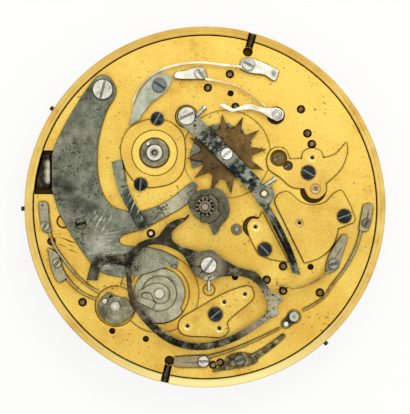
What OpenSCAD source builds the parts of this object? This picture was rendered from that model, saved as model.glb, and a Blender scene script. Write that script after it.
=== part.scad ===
// Movement of a quarter-repeating pocket watch, seen on its dial side.
// Origin: centre of the plate's dial face. +Z points to the dial, +Y to the top, millimetres.

/* [Frame] */
// Diameter of the main plate
plate_d = 42.8; // [42:0.1:44]
// Thickness of the main plate
plate_t = 1.6; // [1.4:0.05:2]
// Width of the case ring round the plate
ring_w = 1.1; // [0.8:0.05:1.6]
// Height of the case ring
ring_h = 2.6; // [2.2:0.1:3.4]
// Step of the case ring below the dial face
ring_step = 0.25; // [0.1:0.05:0.4]
// Clear height between the plate and the back bridges
train_gap = 4.4; // [4.3:0.05:5]
// Thickness of the back bridges
bridge_t = 1.2; // [0.8:0.05:1.6]
// Depth at which the dial-side bridges are let into the plate
let_in = 0.5; // [0.3:0.05:0.7]
// Height of the dial-side bridges above the plate
proud = 0.25; // [0.1:0.05:0.4]
// Radius of the holes for the dial feet
foot_hole_r = 0.6; // [0.4:0.05:0.7]

/* [Levers] */
// Thickness of the repeating lever and of the hour snail
lever_t = 0.5; // [0.35:0.05:0.6]
// Thickness of the star wheel and its jumper
star_t = 0.35; // [0.25:0.05:0.45]
// Thickness of the all-or-nothing bar
bar_t = 0.6; // [0.4:0.05:0.7]
// Thickness of the quarter rack and the quarter snail
rack_t = 0.5; // [0.35:0.05:0.7]
// Thickness of the star driver under the quarter snail
driver_t = 0.35; // [0.25:0.05:0.4]
// Working gap between moving layers
layer_gap = 0.1; // [0.06:0.02:0.16]
// Radial running clearance of a pivot
run = 0.03; // [0.02:0.01:0.05]
// Thickness of a spring blade
blade_w = 0.3; // [0.2:0.02:0.4]
// Depth of a screw slot
slot_depth = 0.18; // [0.1:0.02:0.25]
// Width of a screw slot
slot_w = 0.3; // [0.2:0.02:0.4]
// Width of the slots in the black screws
thin_slot_w = 0.18; // [0.12:0.02:0.3]

/* [Repeating work] */
// Radius of the star wheel over its points
star_r = 5.1; // [4.8:0.05:5.2]
// Hours on the star wheel
hours = 12; // [12:1:12]
// Largest radius of the hour snail
hour_snail_max = 4.6; // [4.2:0.05:4.8]
// Smallest radius of the hour snail
hour_snail_min = 2; // [1.8:0.05:2.1]
// Largest radius of the quarter snail
quarter_snail_max = 2.02; // [1.8:0.02:2.06]
// Smallest radius of the quarter snail
quarter_snail_min = 1.02; // [0.95:0.02:1.1]
// Radius of the chain pulley's disc
pulley_r = 3.7; // [3.2:0.05:3.8]
// Distance of the gongs from the plate's edge
gong_inset = 1.1; // [0.9:0.05:1.4]
// Gap between a resting hammer and its gong
hammer_gap = 0.45; // [0.2:0.05:0.7]
// Radius of a hammer's head
hammer_head_r = 1.35; // [1.1:0.05:1.5]
// Thickness of the gong wire
gong_wire = 0.6; // [0.4:0.05:0.8]

/* [Going train] */
// Teeth of the barrel
barrel_teeth = 84; // [72:12:96]
// Leaves of the centre pinion
centre_leaves = 12; // [10:1:12]
// Teeth of the centre wheel
centre_teeth = 80; // [72:4:80]
// Teeth of the third wheel
third_teeth = 60; // [54:2:64]
// Teeth of the fourth wheel
fourth_teeth = 64; // [60:2:68]
// Leaves of the third, fourth and escape pinions
leaves = 8; // [7:1:8]
// Teeth of the escape wheel
escape_teeth = 12; // [12:1:13]
// Thickness of the train wheels
wheel_t = 0.35; // [0.25:0.05:0.4]
// Radius of the balance
balance_r = 6.2; // [5.6:0.1:6.3]
// Turns of the hairspring
hair_turns = 5; // [3:1:5]
// Space from turn to turn of the hairspring
hair_pitch = 0.6; // [0.56:0.01:0.62]
// Thickness of the hairspring
hair_w = 0.12; // [0.08:0.01:0.14]

/* [Hidden] */
$fn = 48;

// Colours as the photograph shows them
gilt = [0.93, 0.76, 0.34];
gilt_dark = [0.8, 0.62, 0.26];
steel = [0.62, 0.64, 0.6];
bright = [0.86, 0.88, 0.88];
black_steel = [0.2, 0.2, 0.22];
bronze = [0.45, 0.3, 0.16];

// Axes of the repeating work on the dial side
lever_at = [-12.75, 14.65];
star_at = [2.7, 6.6];
bar_at = [-2.3, 11.3];
bar_end_at = [7.35, 1.65];
jumper_at = [9, 11.5];
detent_at = [-5.7, 15.15];
rack_at = [0.45, -7.2];
pulley_at = [-5.7, -10.8];
hour_hammer_at = [-11.2, -12.4];
quarter_hammer_at = [11.1, -13.7];
push_at = [1.2 - plate_d / 2, 4.4];

// Axes of the going train and of the repeating train
barrel_at = [-6.3, 6.75];
third_at = [6.3, -2.5];
fourth_at = [11.8, -2];
escape_at = [13.8, 2.25];
balance_at = [13.4, 6.15];
second_at = [-2.2, -14.9];
repeat_third_at = [1.8, -15.2];
repeat_fourth_at = [2.4, -11.9];
fly_at = [5, -10.9];
origin = [0, 0];

// Heights of the layers
plate_r = plate_d / 2;
gong_r = plate_r - gong_inset;
back = -plate_t;
bridge_z = back - train_gap;
floor_z = bridge_z - bridge_t;
lever_z = layer_gap;
star_z = lever_z + lever_t + 0.05;
bar_z = star_z + star_t + layer_gap;
rack_z = bar_z + driver_t + 0.05;
cannon_z = rack_z + rack_t + 0.05;
head_h = 0.42;
screw_deep = 1;

// Points along a smooth line through the given points, without its last point
function curve_at(a, b, c, d, t) =
    0.5 * (2 * b + (c - a) * t + (2 * a - 5 * b + 4 * c - d) * t * t + (3 * b - a - 3 * c + d) * t * t * t);
function run_of(p, n = 3) = [
    for (i = [0 : len(p) - 2])
        for (k = [0 : n - 1])
            curve_at(p[max(i - 1, 0)], p[i], p[i + 1], p[min(i + 2, len(p) - 1)], k / n)
];
function loop_of(p, n = 3) = let (m = len(p)) [
    for (i = [0 : m - 1])
        for (k = [0 : n - 1])
            curve_at(p[(i + m - 1) % m], p[i], p[(i + 1) % m], p[(i + 2) % m], k / n)
];
function polar(r, a) = [r * cos(a), r * sin(a)];
function angle_of(p) = atan2(p[1], p[0]);
function side_of(c, i) =
    let (d = c[min(i + 1, len(c) - 1)] - c[max(i - 1, 0)]) [-d[1], d[0]] / norm(d);
// Outline of a strip of the given width along a smooth line
function strip_of(p, w0, w1, n = 3) =
    let (c = concat(run_of(p, n), [p[len(p) - 1]]), m = len(c) - 1)
    concat(
        [for (i = [0 : m]) c[i] + side_of(c, i) * (w0 + (w1 - w0) * i / m) / 2],
        [for (i = [m : -1 : 0]) c[i] - side_of(c, i) * (w0 + (w1 - w0) * i / m) / 2]
    );

module at(p) translate([p[0], p[1], 0]) children();
module slab(z, h) translate([0, 0, z]) linear_extrude(h) children();
module disc(p, z, h, r) translate([p[0], p[1], z]) cylinder(h = h, r = r);
// Straight bar with round ends
module bar_2d(a, b, w) {
    along = angle_of(b - a);
    polygon(concat(
        [for (k = [0 : 15 : 180]) a + polar(w / 2, along + 90 + k)],
        [for (k = [0 : 15 : 180]) b + polar(w / 2, along - 90 + k)]));
}
// Round pin that lies along a line, with a wider head at its far end
module lying_pin(a, b, z, r) translate([a[0], a[1], z]) rotate(angle_of(b - a)) rotate([0, 90, 0]) {
    cylinder(h = norm(b - a), r = r);
    translate([0, 0, norm(b - a) - 0.3]) cylinder(h = 0.4, r = r + 0.08);
}
// A screw: shank in the plate, collar under the piece it holds, slotted head on top
module screw_at(p, r, z, turn = 30, shank = 0.5, deep = screw_deep, slot = slot_w) {
    difference() {
        union() {
            disc(p, -deep, deep + z, shank * r);
            disc(p, z, head_h, r);
        }
        translate([p[0], p[1], z + head_h - slot_depth / 2 + 0.01])
            rotate(turn)
                cube([2.2 * r, slot, slot_depth + 0.02], center = true);
    }
}

// Gear outline with straight flanks; one tooth points along the angle phase
function gear_points(n, tip, root, phase, tip_share, root_share) = [
    for (i = [0 : n - 1], k = [0 : 3])
        let (
            pitch = 360 / n,
            share = [-root_share, -tip_share, tip_share, root_share][k],
            r = (k == 1 || k == 2) ? tip : root
        )
        polar(r, phase + (i + share) * pitch)
];
function module_of(a, b, na, nb) = 2 * norm(b - a) / (na + nb);
module wheel_2d(a, b, na, nb) {
    m = module_of(a, b, na, nb);
    r = m * na / 2;
    polygon(gear_points(na, r + 0.95 * m, r - 1.35 * m, angle_of(b - a), 0.09, 0.29));
}
module pinion_2d(a, b, na, nb) {
    m = module_of(a, b, na, nb);
    r = m * nb / 2;
    polygon(gear_points(nb, r + 0.6 * m, r - 1.25 * m, angle_of(a - b) + 180 / nb, 0.1, 0.27));
}
// Crossed wheel: rim with teeth, four arms and a hub
module crossed_2d(a, b, na, nb, hub) {
    m = module_of(a, b, na, nb);
    inner = m * na / 2 - 3.6 * m;
    difference() {
        wheel_2d(a, b, na, nb);
        difference() {
            circle(inner);
            circle(hub);
            for (turn = [0, 90])
                rotate(turn) square([2 * inner + 1, 0.6], center = true);
        }
    }
}
// Arbor between the two bearings, with thin pivots at its ends
pivot_r = 0.15;
arbor_r = 0.26;
arbor_room = 0.32;
module arbor(low, high) {
    translate([0, 0, low]) cylinder(h = high - low, r = arbor_r);
    translate([0, 0, low - 0.8]) cylinder(h = high - low + 1.2, r = pivot_r);
}

// Outlines of the pieces that lie in or on the plate
cap_outline = loop_of([[-10.5, 7.3], [-9.9, 9.2], [-8.7, 10.3], [-6.6, 10.95], [-4.5, 10.6], [-3, 9.4],
    [-2.55, 8], [-2.55, 5.8], [-2.85, 4.4], [-4, 3.1], [-6, 2.55], [-7.9, 2.6], [-9.2, 3.7], [-10.1, 5.2]]);
front_bridge_outline = loop_of([[5.2, -9.85], [6.05, -10.6], [5.9, -11.6], [4.6, -12.7], [2.8, -14.3],
    [2.95, -15.4], [2.1, -16.25], [0, -16.2], [-2.4, -16.05], [-3.3, -15.2], [-3, -14], [-1.6, -13.1],
        [2, -11]]);
third_outline = concat(
    run_of([[7.15, -0.55], [6.7, -1.45], [5.9, -1.45], [5.3, -2.2], [5.4, -3.2], [6, -4.6], [6.7, -5.9]]),
    run_of([[6.7, -5.9], [8.3, -6.55], [10.45, -6.9]], 2),
    [[10.45, -6.9]]);
fourth_outline = concat(
    [[9, -0.1], [12.4, -7]],
    run_of([[12.4, -7], [14.2, -6.4], [15.7, -5.2], [16.4, -3.8], [16.6, -2.7]]),
    [[16.6, -2.7], [18.6, -1.9], [18.75, -1.5], [18.2, 0]],
    run_of([[17.6, 1.2], [17, 2.05], [16, 1.6], [15, 0.55], [13.4, 0.2], [11.9, 0.6], [10.4, 1.85],
        [9.2, 1.6],
        [8.7, 0.8], [9, -0.1]]));
chariot_outline = concat(
    run_of([[12.1, 6], [12.3, 6.9], [13.4, 7.35], [14.5, 6.9], [14.75, 6.1]]),
    run_of([[14.75, 6.1], [16.3, 6.6], [17.65, 8.1]]),
    run_of([[17.65, 8.1], [17.75, 6.8], [17, 4.8], [15.1, 2.9]]),
    run_of([[15.1, 2.9], [15.1, 1.9], [14.2, 1.05], [13, 1.2], [12.4, 2.3]]),
    run_of([[12.4, 2.3], [10.8, 2.5], [9.4, 3.7], [8, 4.7], [7.75, 6.2], [8.5, 7.3], [9.8, 7.3],
        [10.5, 6.4]]),
    [[10.55, 5.95]]);
chariot_hole_at = [9.2, 6.1];
chariot_slot_at = [10.35, 5.15];
star_recess_r = 5.55;
pulley_recess_r = 5;

// Where screws, springs and pins stand on the dial side
cap_screws = [[-5.95, 11.05], [-8.05, 2.8]];
bridge_screw_at = [[12.9, 4.3], [17.4, -1.15], [7.45, -5.3], [1.3, -13.4]];
spring_feet = [[5.4, 17.75], [-0.55, 16.6], [-18.45, -7], [-19.95, -2.4], [4.3, -19.1], [-0.2, -19.25],
    [15.95, -7.1], [20.1, -2]];
pins = [[-6.75, -3.3], [9.75, -7.4], [7.7, -9.1], [14.35, -10.7], [-15.3, -11.9], [13.35, 7.85], [12, 12.2],
    [0.35, 14.9], [3.8, 12.5], [12.8, 9.2], [9.75, -10.45], [1, -19.75], [1.9, -19.45], [-19.2, -4.3],
    [3.1, 16.6]];
stud_at = [3.95, -2.8];
open_holes = [[3.75, -8.75], [3.2, 14.2], [13.2, -7.5], [-11.6, -15.5], [-7.4, -16.5]];
foot_holes = [[5.35, 19.4], [-4.45, -19.2]];
function foot_slot(p) = plate_r + ring_w + 1 - norm(p);
push_slot_w = [1.6, 7.05];
push_slot = [for (c = [[4.1, 0], [4.1, 1], [0.1, 1], [0.1, 0]]) [c[0] - plate_r, push_slot_w[c[1]]]];
push_travel = 1.6;
rack_pin_at = [0.5, -10.35];
pin_r = 0.3;
pin_room = 0.22;
barrel_pivot_r = 0.9;
lever_pivot_r = 0.55;
rack_pivot_r = 0.5;
bar_pivot_r = 0.5;
small_pivot_r = 0.4;
hammer_pivot_r = 0.45;
centre_pivot_r = 0.6;
pulley_pivot_r = 0.5;
stud_r = 0.6;
trip_recess_r = 2.6;

// Feet and screws of the back bridges
barrel_feet = [[-15.5, 9.2], [1.5, 15.2], [-13.5, -2.6]];
train_feet = [[0.9, -8.25], [17.5, -5.3]];
repeat_feet = [[-9, -16.2], [8.3, -11]];
balance_foot = [8.3, 14.2];
escape_foot = [18.4, -0.8];
foot_r = 1.15;
back_screw_r = 0.8;
escape_cock_z = back - 2.9;
escape_cock_t = 0.5;

module plate() color(gilt)
    difference() {
        translate([0, 0, back]) cylinder(h = plate_t, r = plate_r, $fn = 96);
        slab(-let_in, 2) {
            polygon(cap_outline);
            polygon(front_bridge_outline);
            polygon(third_outline);
            polygon(fourth_outline);
            polygon(chariot_outline);
            at(pulley_at) circle(pulley_r + 0.1);
        }
        disc(star_at, -0.15, 1, star_recess_r);
        disc(pulley_at, -0.2, 1, pulley_recess_r);
        disc([6, -2.45], -0.9, 2, 1.3);
        disc([13.5, 2.05], -0.9, 2, 1.6);
        at([-17.7, -1.8]) difference() {
            translate([0, 0, -0.1]) cylinder(h = 1, r = 0.85);
            translate([0, 0, -1]) cylinder(h = 3, r = 0.72);
        }
        slab(back + 0.2, plate_t + 2) polygon(push_slot);
        disc(barrel_at, back - 1, 3, 2.2);
        disc(origin, back - 1, 3, centre_pivot_r + run);
        disc(pulley_at, back - 1, 3, pulley_pivot_r + run);
        for (p = [third_at, fourth_at, escape_at, second_at, repeat_third_at, repeat_fourth_at, fly_at])
            disc(p, back - 1, 3, arbor_r + arbor_room);
        disc(balance_at, back - 1, 3, cylinder_r + arbor_room);
        for (p = [hour_hammer_at, quarter_hammer_at]) disc(p, back - 1, 3, hammer_pivot_r + run);
        for (p = concat(cap_screws, bridge_screw_at)) disc(p, -let_in - screw_deep, 3, 0.4);
        for (p = spring_feet) disc(p, -screw_deep, 3, 0.3);
        for (p = pins) {
            disc(p, -screw_deep, 3, pin_r);
            disc(p, -0.5, 3, pin_r + pin_room);
        }
        disc(stud_at, -screw_deep, 3, pin_r);
        disc(rack_pin_at, -0.35, 2, 0.8);
        disc(bar_at, -0.12, 2, 1.38);
        disc([8.85, 11.45], -0.35, 2, 1.1);
        disc(chariot_hole_at, -0.95, 2, 1.05);
        disc(chariot_slot_at, -0.95, 2, 0.6);
        for (p = [chariot_hole_at, chariot_slot_at]) disc(p, -1.4, 2, 0.25);
        disc(hour_hammer_at, -0.95, 2, trip_recess_r);
        for (p = open_holes) disc(p, back + 0.15, 3, 0.38);
        for (p = foot_holes) {
            disc(p, back + 0.15, 3, foot_hole_r);
            at(p) rotate(angle_of(p)) translate([0, -0.45, -0.9]) cube([foot_slot(p), 0.9, 2]);
        }
        disc(lever_at, -screw_deep, 3, lever_pivot_r);
        disc(rack_at, -screw_deep, 3, rack_pivot_r);
        disc(bar_at, -screw_deep, 3, bar_pivot_r);
        disc(bar_end_at, -screw_deep, 3, guide_r);
        for (p = [jumper_at, detent_at]) disc(p, -screw_deep, 3, small_pivot_r);
        disc(keeper_rivet_at, -screw_deep, 3, 0.35);
        for (p = concat(barrel_feet, train_feet, repeat_feet, [balance_foot, escape_foot]))
            disc(p, back - 1, 1.9, back_screw_r / 2);
    }

module case_ring() color(gilt_dark)
    difference() {
        translate([0, 0, -ring_step - ring_h]) cylinder(h = ring_h, r = plate_r + 0.1 + ring_w, $fn = 96);
        translate([0, 0, back]) cylinder(h = plate_t + 1, r = plate_r + 0.1, $fn = 96);
        translate([0, 0, -ring_step - ring_h - 1]) cylinder(h = ring_h + 2, r = plate_r - 0.5, $fn = 96);
        translate([-plate_r - 3, push_at[1], -0.9]) rotate([0, 90, 0]) cylinder(h = 4,
            r = push_stem_r + run);
        for (p = foot_holes)
            at(p) rotate(angle_of(p)) translate([0, -0.45, -0.9]) cube([foot_slot(p), 0.9, 2]);
        for (p = rim_pin_at)
            rotate(p) translate([plate_r - 2, 0, -1]) rotate([0, 90, 0]) cylinder(h = 6, r = rim_pin_r);
    }

module barrel_cap() color(gilt)
    difference() {
        slab(-let_in, let_in + 2 * proud) polygon(cap_outline);
        disc(barrel_at, -2, 4, barrel_pivot_r + run);
        for (p = cap_screws) disc(p, -2, 4, 0.4);
        translate([barrel_at[0], barrel_at[1], 2 * proud - 0.08])
            difference() {
                cylinder(h = 1, r = 2.9);
                translate([0, 0, -1]) cylinder(h = 3, r = 2.8);
            }
    }

// Bridge let into the plate, bored for pivots and its screw
module let_in_bridge(outline, pivots, screw) {
    difference() {
        slab(-let_in, let_in + proud) polygon(outline);
        for (p = pivots) {
            disc(p, -2, 4, pivot_r + 0.02);
            translate([p[0], p[1], proud - 0.12]) cylinder(h = 1, r1 = pivot_r + 0.02, r2 = pivot_r + 2.1);
        }
        disc(screw, -2, 4, 0.4);
    }
}

module repeat_bridge_front() color(gilt)
    let_in_bridge(front_bridge_outline, [second_at, repeat_third_at, repeat_fourth_at, fly_at],
        bridge_screw_at[3]);

module third_bridge() color(gilt) let_in_bridge(third_outline, [third_at], bridge_screw_at[2]);

module fourth_bridge() color(gilt) let_in_bridge(fourth_outline, [fourth_at], bridge_screw_at[1]);

// Chariot: carries the dial-side pivots of the balance and the escape wheel
module chariot() color(gilt)
    difference() {
        let_in_bridge(chariot_outline, [balance_at, escape_at], bridge_screw_at[0]);
        disc(chariot_hole_at, -2, 4, 1.05);
        disc(chariot_slot_at, -2, 4, 0.6);
    }

// Foot of a back bridge with its screw hole
module back_foot(p, r, z) disc(p, z, back - z, r);
module back_bridge(outline, feet, pivots, hole) {
    difference() {
        union() {
            slab(floor_z, bridge_t) polygon(outline);
            for (p = feet) back_foot(p, foot_r, bridge_z - 0.1);
        }
        for (p = pivots) disc(p, floor_z - 1, bridge_t + 1.5, hole);
        for (p = feet) {
            disc(p, floor_z - 1, 8, back_screw_r / 2);
            disc(p, floor_z - 1, 1 + head_h, back_screw_r);
        }
    }
}

module barrel_bridge() color(gilt)
    back_bridge(
        loop_of([[-16.8, 10], [-14.6, 11.4], [-7, 13.6], [1, 16.9], [3.1, 15.6], [1.2, 12.6],
            [-0.2, 8.5], [-3.6, 4],
            [-8.6, 0.4], [-12, -4], [-14, -4.2], [-15.1, -2.4], [-14, 3], [-16.2, 7.6]], 2),
        barrel_feet, [barrel_at], barrel_pivot_r + run);

module train_bridge() color(gilt)
    difference() {
        back_bridge(
            loop_of([[-1.3, -8], [-1.7, -4], [-1.8, 0.6], [0, 1.8], [2.2, 0.8], [6.4, -0.9],
                [11.6, -0.5], [14.6, -2.4],
                [18.6, -4], [19, -5.6], [17.8, -6.8], [14, -5.2], [9.6, -4.8], [5, -5.6], [2.8, -8.4],
                    [0.8, -9.9]], 2),
            train_feet, [third_at, fourth_at], pivot_r + 0.02);
        disc(origin, floor_z - 1, bridge_t + 1.5, 0.4 + run);
    }

module escape_cock() color(gilt)
    difference() {
        union() {
            slab(escape_cock_z, escape_cock_t) bar_2d(escape_foot, escape_at, 1.9);
            back_foot(escape_foot, 0.85, escape_cock_z + 0.1);
        }
        disc(escape_at, floor_z, 6, pivot_r + 0.02);
        disc(escape_foot, floor_z, 8, back_screw_r / 2);
    }

module balance_cock() color(gilt)
    difference() {
        union() {
            slab(floor_z, bridge_t)
                polygon(loop_of([[14.6, 4.8], [15.1, 6.6], [13.8, 8], [11.9, 10.6], [10.6, 14.4],
                    [8.6, 16.3],
                    [6.2, 14.6], [7.2, 12], [10.2, 9], [11.7, 6], [12.9, 4.4]], 2));
            back_foot(balance_foot, 1.6, bridge_z - 0.1);
        }
        disc(balance_at, floor_z - 1, bridge_t + 1.5, pivot_r + 0.02);
        disc(balance_foot, floor_z - 1, 8, back_screw_r / 2);
        disc(balance_foot, floor_z - 1, 1 + head_h, back_screw_r);
    }

module repeat_bridge() color(gilt)
    difference() {
        back_bridge(
            loop_of([[-10.4, -16.8], [-10.6, -13], [-9.6, -8.6], [-6, -6.4], [-2.2, -8.2], [0.6, -11.2],
                [4, -9.6],
                [8.4, -9.5], [9.8, -11.4], [7.8, -12.8], [5, -13.6], [3.6, -16.4], [0, -17.4], [-5, -17.2],
                [-8.8, -17.9]], 2),
            repeat_feet, [second_at, repeat_third_at, repeat_fourth_at, fly_at], pivot_r + 0.02);
        disc(pulley_at, floor_z - 1, bridge_t + 1.5, pulley_pivot_r + run);
    }

// Fixed drum that holds the repeating spring, seated on the repeating bridge
drum_r = 4.2;
drum_h = 2;
module repeat_drum() color(gilt_dark)
    at(pulley_at) difference() {
        translate([0, 0, bridge_z]) cylinder(h = drum_h, r = drum_r);
        translate([0, 0, bridge_z + 0.4]) cylinder(h = drum_h, r = drum_r - 0.5);
        translate([0, 0, bridge_z - 1]) cylinder(h = 3, r = pulley_pivot_r + run);
    }

module front_screws() color(black_steel) {
    for (i = [0, 1]) screw_at(cap_screws[i], 0.82, 2 * proud, 60 + 25 * i, 0.4 / 0.82, slot = thin_slot_w);
    for (i = [0 : 3])
        screw_at(bridge_screw_at[i], 0.85, proud, [150, 20, 135, 40][i], 0.4 / 0.85, slot = thin_slot_w);
    screw_at(chariot_hole_at, 0.75, -0.95, 20, 0.25 / 0.75, 1.4, thin_slot_w);
    screw_at(chariot_slot_at, 0.5, -0.95, 35, 0.5, 1.4, thin_slot_w);
}

module back_screws() color(black_steel) {
    for (p = concat(barrel_feet, train_feet, repeat_feet, [balance_foot]))
        mirror([0, 0, 1]) translate([0, 0, -floor_z - head_h]) screw_at(p, back_screw_r, 0, 35, 0.5,
            back_len);
    mirror([0, 0, 1]) translate([0, 0, -escape_cock_z])
        screw_at(escape_foot, back_screw_r, 0, 80, 0.5, -escape_cock_z - plate_t + 0.8);
}
back_len = -floor_z - head_h - plate_t + 0.8;

module spring_screws() color(bright) {
    turns = [-27, -55, 48, 60, 20, 0, 15, 60];
    head_r = [0.72, 0.66, 0.5, 0.5, 0.6, 0.64, 0.6, 0.5];
    for (i = [0 : 7]) screw_at(spring_feet[i], head_r[i], foot_top[i], turns[i], 0.3 / head_r[i]);
}

// Shoulder screws and the stud on which the levers turn, each with the collar that sets its height
module pivot_screws() color(steel) {
    shoulder(lever_at, lever_pivot_r, 1.2, 0, lever_z + lever_t + 0.05, 75);
    shoulder(rack_at, rack_pivot_r, 0.95, rack_z - 0.05, rack_z + rack_t + 0.05, 55);
    shoulder(bar_at, bar_pivot_r, 1.05, bar_z - 0.05, bar_z + bar_t + 0.15, 25, -0.12);
    rivet(jumper_at, small_pivot_r, 0.55, star_z - 0.05, star_z + star_t + 0.05, -0.35);
    shoulder(detent_at, small_pivot_r, 0.82, star_z - 0.05, star_z + star_t + 0.05, -33);
    disc(bar_end_at, -screw_deep, screw_deep + bar_z + bar_t + 0.2, guide_r);
}
module shoulder(p, shank, head, collar_top, head_z, turn, base = 0) {
    screw_at(p, head, head_z, turn, shank / head);
    if (collar_top > 0) disc(p, base, collar_top - base, shank + 0.35);
}
// Stud on a collar with a thin head and the end of its shank riveted over
module rivet(p, shank, head, collar_top, head_z, base) {
    disc(p, -screw_deep, screw_deep + head_z + 0.1, shank);
    disc(p, base, collar_top - base, shank + 0.35);
    disc(p, head_z, rivet_h, head);
    disc(p, head_z, 2 * rivet_h, head / 2);
}
rivet_h = 0.12;

module plate_pins() color(steel) {
    for (i = [0 : len(pins) - 1]) disc(pins[i], -screw_deep, screw_deep + pin_top[i], pin_r);
    disc(stud_at, -screw_deep, screw_deep + 0.8, pin_r);
    disc(stud_at, 0, 0.35, 0.6);
    disc(keeper_rivet_at, -screw_deep, screw_deep + keeper_z + keeper_t, 0.35);
}
pin_top = [0.9, 0.9, 0.9, 0.5, 0.4, 0.5, -0.05, -0.05, -0.1, 0.3, 0.9, 0.1, 0.1, -0.05, -0.05];

// Radial pins for the dial feet, and three pins that stand out of the ring
rim_pin_at = [147.2, 180.5, -48.4];
rim_pin_r = 0.28;
module rim_pins() color(black_steel) {
    for (p = foot_holes)
        at(p) rotate(angle_of(p)) translate([foot_hole_r + 0.1, 0, -0.5]) rotate([0, 90, 0])
            cylinder(h = plate_r - norm(p) + 0.4, r = 0.4);
    for (a = rim_pin_at)
        rotate(a) translate([plate_r - 0.5 + 0.6, 0, -1]) rotate([0, 90, 0]) cylinder(h = ring_w + 0.45,
            r = rim_pin_r);
}

// Springs: a foot under a screw and a thin blade that reaches the piece it presses
foot_top = [star_z + star_t, star_z + star_t, 0.6, 0.6, 0.6, 0.6, 1.2, 0.6];
module spring(foot, blade, top, low, high, end = 0.7, wide = blade_w) color(steel) {
    slab(0, top) polygon(foot);
    slab(low, high - low) polygon(strip_of(blade, wide, wide * end));
}
module bored(i) difference() {
    children();
    disc(spring_feet[i], -1, 4, 0.3);
}

module detent_spring() bored(0)
    spring(
        concat(run_of([[4.4, 17.3], [4.6, 18.3], [5.6, 18.55], [7.4, 17.9], [9.2, 17]]),
            run_of([[9.2, 17], [8.7, 15.75], [7.4, 16.5], [5.6, 16.75], [4.4, 17.3]])),
        [[4.7, 17.45], [2, 17.72], [-0.5, 18], [-3, 17.8], [-5.2, 17.2], [-7, 16.1], [-8.3, 14.6],
            [-9.05, 12.9]],
        foot_top[0], star_z, star_z + star_t);

module jumper_spring() bored(1)
    spring(
        run_of([[0.25, 16], [-0.1, 17.2], [-1, 17.4], [-2.6, 16.95], [-3.6, 16.8], [-3.75, 16.1],
            [-2, 15.95],
            [0.25, 16]]),
        [[0, 15.95], [2, 15.6], [4, 15], [5.6, 14.1], [6.8, 13.1], [7.55, 12.5]],
        foot_top[1], star_z, star_z + star_t);

module left_trip_spring() bored(2)
    spring(
        concat(run_of([[-19.6, -5.1], [-18.3, -6], [-17.9, -7.4], [-17.2, -8.8]]),
            run_of([[-17.2, -8.8], [-18.3, -9.4], [-19.1, -7.8], [-19.6, -5.1]])),
        [[-17.5, -8.5], [-16.4, -9.9], [-15, -10.95], [-13.45, -11.55]], foot_top[2], 0.1, 0.55);

module lever_spring() bored(3)
    spring(
        concat(run_of([[-20.75, 0.6], [-19.7, 0.5], [-19.5, -1.4], [-19.2, -3.1]]),
            run_of([[-19.2, -3.1], [-20.2, -3], [-20.6, -1.2], [-20.75, 0.6]])),
        [[-19.5, -2.9], [-18.75, -5], [-17.4, -6.9], [-15.8, -8.8], [-14.2, -10.1], [-13.2, -10.7]],
        foot_top[3], 0.1, 0.55);

module hammer_spring() bored(4)
    spring(
        concat(run_of([[0.9, -20.55], [2.4, -19.6], [2.8, -18.75], [4.4, -18.2], [6.2, -18.55]]),
            run_of([[6.2, -18.55], [6.5, -19.35], [4.4, -20], [0.9, -20.55]])),
        [[5.9, -18.85], [7.6, -17.8], [9, -16.75], [9.9, -15.95]], foot_top[4], 0.1, 0.55, 0.55, 0.8);

module bottom_spring() bored(5)
    spring(
        run_of([[-3.8, -18.75], [-3.8, -19.85], [-1.8, -20], [0.2, -19.95], [0.5, -19.25],
            [0.45, -18.55], [-1.8, -18.6],
            [-3.8, -18.75]]),
        [[0.4, -18.7], [2.6, -18.1], [5.2, -17.1], [7.4, -16.1], [9.4, -15.1]], foot_top[5], 0.1, 0.55);

module rack_spring() bored(6)
    spring(
        concat(run_of([[17.1, -3.5], [17.75, -3.7], [17.2, -5.6], [16.6, -7.6]]),
            run_of([[16.6, -7.6], [15.9, -8.1], [15.1, -8.1], [15.5, -6], [17.1, -3.5]])),
        [[15.45, -7.95], [14.6, -8.65], [13.2, -9.5], [11.6, -10.05], [10.2, -9.95], [8.85, -9.65]],
        foot_top[6], 0.9, rack_z + rack_t);

module right_trip_spring() bored(7)
    spring(
        concat(run_of([[19.8, 0.3], [20.85, 0.3], [20.75, -1.6], [20.3, -3]]),
            run_of([[20.3, -3], [19.3, -2.9], [19.45, -1.4], [19.8, 0.3]])),
        [[19.55, -2.7], [18.9, -5], [17.6, -7.5], [16, -9.6], [14.8, -11.3], [13.2, -12.4], [12.2, -12.9]],
        foot_top[7], 0.1, 0.55);

// Keeper: a bent steel strip over the arm of the repeating lever, riveted at its upper end
keeper_rivet_at = [-10.4, 3.75];
keeper_z = lever_z + lever_t + layer_gap;
keeper_t = 0.4;
module keeper_2d() polygon(strip_of([[-11, 5.75], [-10.75, 4.3], [-10.1, 2], [-9, -0.2],
    [-7.55, -2.75]], 1.3, 1.1));
module lever_keeper() color(steel)
    difference() {
        union() {
            slab(keeper_z, keeper_t) keeper_2d();
            slab(0, keeper_z + 0.1)
                polygon(strip_of([[-10.8, 5.7], [-10.55, 4.6], [-10.3, 3.1]], 0.8, 0.8));
        }
        disc(keeper_rivet_at, -1, 4, 0.35);
    }

// Wire gongs round the movement, held by one block
gong_z = [back - 1.45, back - 2.55];
gong_start = 97;
module gongs() color(black_steel)
    for (i = [0, 1])
        translate([0, 0, gong_z[i]]) rotate(gong_start)
            rotate_extrude(angle = [200, -190][i]) translate([gong_r, 0]) circle(gong_wire / 2, $fn = 24);

module gong_block() color(steel)
    difference() {
        rotate(gong_start - 4) translate([gong_r - 1.4, -1.2, back - 3.6]) cube([1.85, 2.4, 3.6]);
        for (z = gong_z)
            translate([0, 0, z]) rotate_extrude() translate([gong_r, 0]) circle(gong_wire / 2, $fn = 24);
    }

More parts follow.
